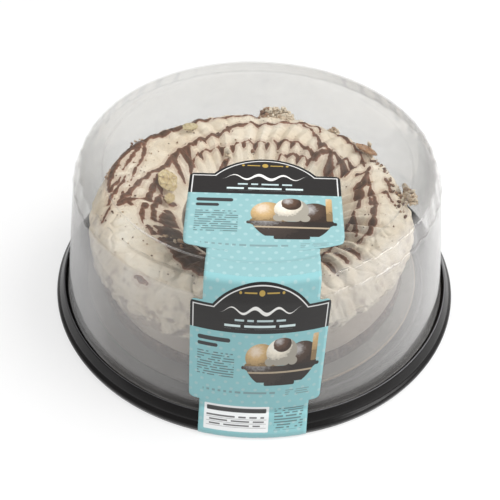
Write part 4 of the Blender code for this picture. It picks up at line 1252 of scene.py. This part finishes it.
# the header: a dark arch over a band, with a black rim and a thin white line inside it, a gold
# ornament, a pale wave and two rows of dashes
HEADER_END = 31.0
arch_depth = ARCH_RADIUS - x.hypot(v - ARCH_RADIUS)
band_depth = (TOP_HALF - x.abs()).min(v - (PANEL_START - ARCH_START))
depth = arch_depth.max(band_depth)
in_header = depth.above(0.0, 0.2) * (HEADER_END - v).above(0.0, 0.2)
gold = disc(0.0, 6.0, 1.7)
for side in (-1, 1):
    gold = gold.max(box(side * 6.5 - 3.6, side * 6.5 + 3.6, 5.6, 6.4))
    gold = gold.max(disc(side * 12.4, 6.0, 0.8))
wave = v - 16.5 - 1.9 * (x * 0.46).math("SINE")
layers += [
    ((0.005, 0.0045, 0.0045), in_header),
    ((0.0145, 0.0125, 0.012), in_header * depth.above(1.6, 0.3)),
    ((0.72, 0.72, 0.71), depth.above(1.5, 0.2) * (2.15 - depth).above(0.0, 0.2) * in_header),
    ((0.46, 0.31, 0.07), gold),
    ((0.83, 0.82, 0.79), (1.35 - 0.06 * x.abs() - wave.abs()).above(0.0, SOFT_EDGE)),
    ((0.50, 0.62, 0.63), dashes(-15, 15, 22.0, 24.4, 2.4, 1.3, 1.9, 1.0)),
    ((0.62, 0.74, 0.74), dashes(-21, 21, 25.6, 28.2, 2.6, 1.5, 2.3, 2.0)),
]

# left column: two heavy bars, then rows of small dashes
DARK_INK, GREY_INK, FAINT_INK = (0.035, 0.035, 0.036), (0.12, 0.20, 0.21), (0.20, 0.31, 0.32)
layers += [
    (DARK_INK, box(-37.0, -17.0, 35.2, 38.0, 1.3)),
    (DARK_INK, box(-37.0, -24.5, 39.6, 42.0, 1.1)),
    (GREY_INK, dashes(-37.0, -14.0, 45.4, 62.0, 1.75, 0.85, 1.5, 3.0)),
]

# the picture: three scoops with a drip, and a biscuit stick, in a dark footed dish
CREAM_INK, TAN_INK, BROWN_INK = (0.80, 0.74, 0.62), (0.56, 0.38, 0.18), (0.075, 0.045, 0.030)
SCOOP_RADIUS = 9.4
DISH_X = 14.5


def shaded(ink, middle_x, middle_v, radius):
    """An ink as a ball or bowl shows it: lit from the upper left, darker to the lower right."""
    lit = (x - middle_x + 0.35 * radius).hypot(v - middle_v + 0.45 * radius) / radius
    lit = lit + 0.5 * (uv.noise(0.7, 3.0) - 0.5)
    return lit.ramp((
        (0.15, tuple(0.35 + 0.65 * part for part in ink)), (0.55, ink),
        (1.0, tuple(0.62 * part for part in ink)), (1.0, tuple(0.42 * part for part in ink)),
    ))


for middle_x, middle_v, ink in (
    (DISH_X - 12.5, 47.0, TAN_INK), (DISH_X + 12.5, 47.0, BROWN_INK), (DISH_X, 43.5, CREAM_INK),
):
    scoop = disc(middle_x, middle_v, SCOOP_RADIUS)
    for step in (-7.0, -2.4, 2.4, 7.0):
        scoop = scoop.max(disc(middle_x + step, middle_v + 6.6, 2.9))
    layers.append((shaded(ink, middle_x, middle_v, SCOOP_RADIUS), scoop))
drip = disc(DISH_X, 38.2, 5.4)
for step, end in ((-4.0, 41.6), (0.0, 43.4), (4.0, 41.0)):
    drip = drip.max(box(DISH_X + step - 1.1, DISH_X + step + 1.1, 38.0, end, 1.05))
dish = disc(DISH_X, 47.0, 22.5) * box(-9.0, 38.0, 53.6, 64.6)
dish_ink = shaded((0.055, 0.040, 0.032), 8.0, 56.0, 22.0)
layers += [
    (shaded((0.11, 0.06, 0.038), DISH_X, 39.0, 6.0), drip * disc(DISH_X, 43.5, SCOOP_RADIUS)),
    (shaded(TAN_INK, 34.0, 38.0, 16.0), box(33.0, 36.4, 33.6, 52.0, 0.8)),
    (dish_ink, dish.max(box(-9.5, 38.5, 53.0, 55.4, 1.0))),
    ((0.42, 0.34, 0.24), box(-6.0, 35.0, 57.0, 58.2, 0.5) * dish),
    (dish_ink, box(5.0, 24.0, 64.2, 67.0, 1.0)),
]

# foot of each panel: one row of dashes; and on the tab a white box of grey rules
layers += [
    (FAINT_INK, dashes(-33.0, 14.0, 71.5, 74.0, 2.5, 1.5, 1.8, 4.0)),
    (FAINT_INK, dashes(19.0, 34.0, 70.6, 75.0, 1.5, 0.7, 1.6, 5.0)),
    ((0.82, 0.83, 0.83), box(-27.0, 8.5, 82.5, 98.0, 0.6, tab_print)),
    ((0.05, 0.05, 0.05), box(-25.6, 7.0, 84.0, 87.2, 0.6, tab_print)),
]
for top in (89.2, 91.6, 94.0):
    small = dashes(-25.6, 6.0, top, top + 1.2, 1.2, 0.9, 2.0, top, tab_print)
    rule = box(-25.6, 7.2, top + 1.5, top + 1.75, at=tab_print)
    layers += [((0.16, 0.16, 0.16), small), ((0.30, 0.30, 0.30), rule)]
layers.append((GREY_INK, dashes(11.5, 27.5, 84.0, 97.0, 1.6, 0.8, 1.5, 9.0, tab_print)))

for ink, field in layers:
    paint = paint.mix(ink, field)
paper = uv.noise(2.2, 4.0, 0.6)
feed(
    label_shader,
    Base_Color=paint.mix((0.9, 0.9, 0.9), 0.035 * paper),
    Roughness=0.34 + 0.16 * paper,
    Normal=uv.bump(uv.noise(0.12, 2.0), 0.35 * MM),
)
label = new_piece("label", label_mesh(), label_finish, "label_paper", "label")
add_sheet(label, LABEL_SHEET, 1.0, even=False)
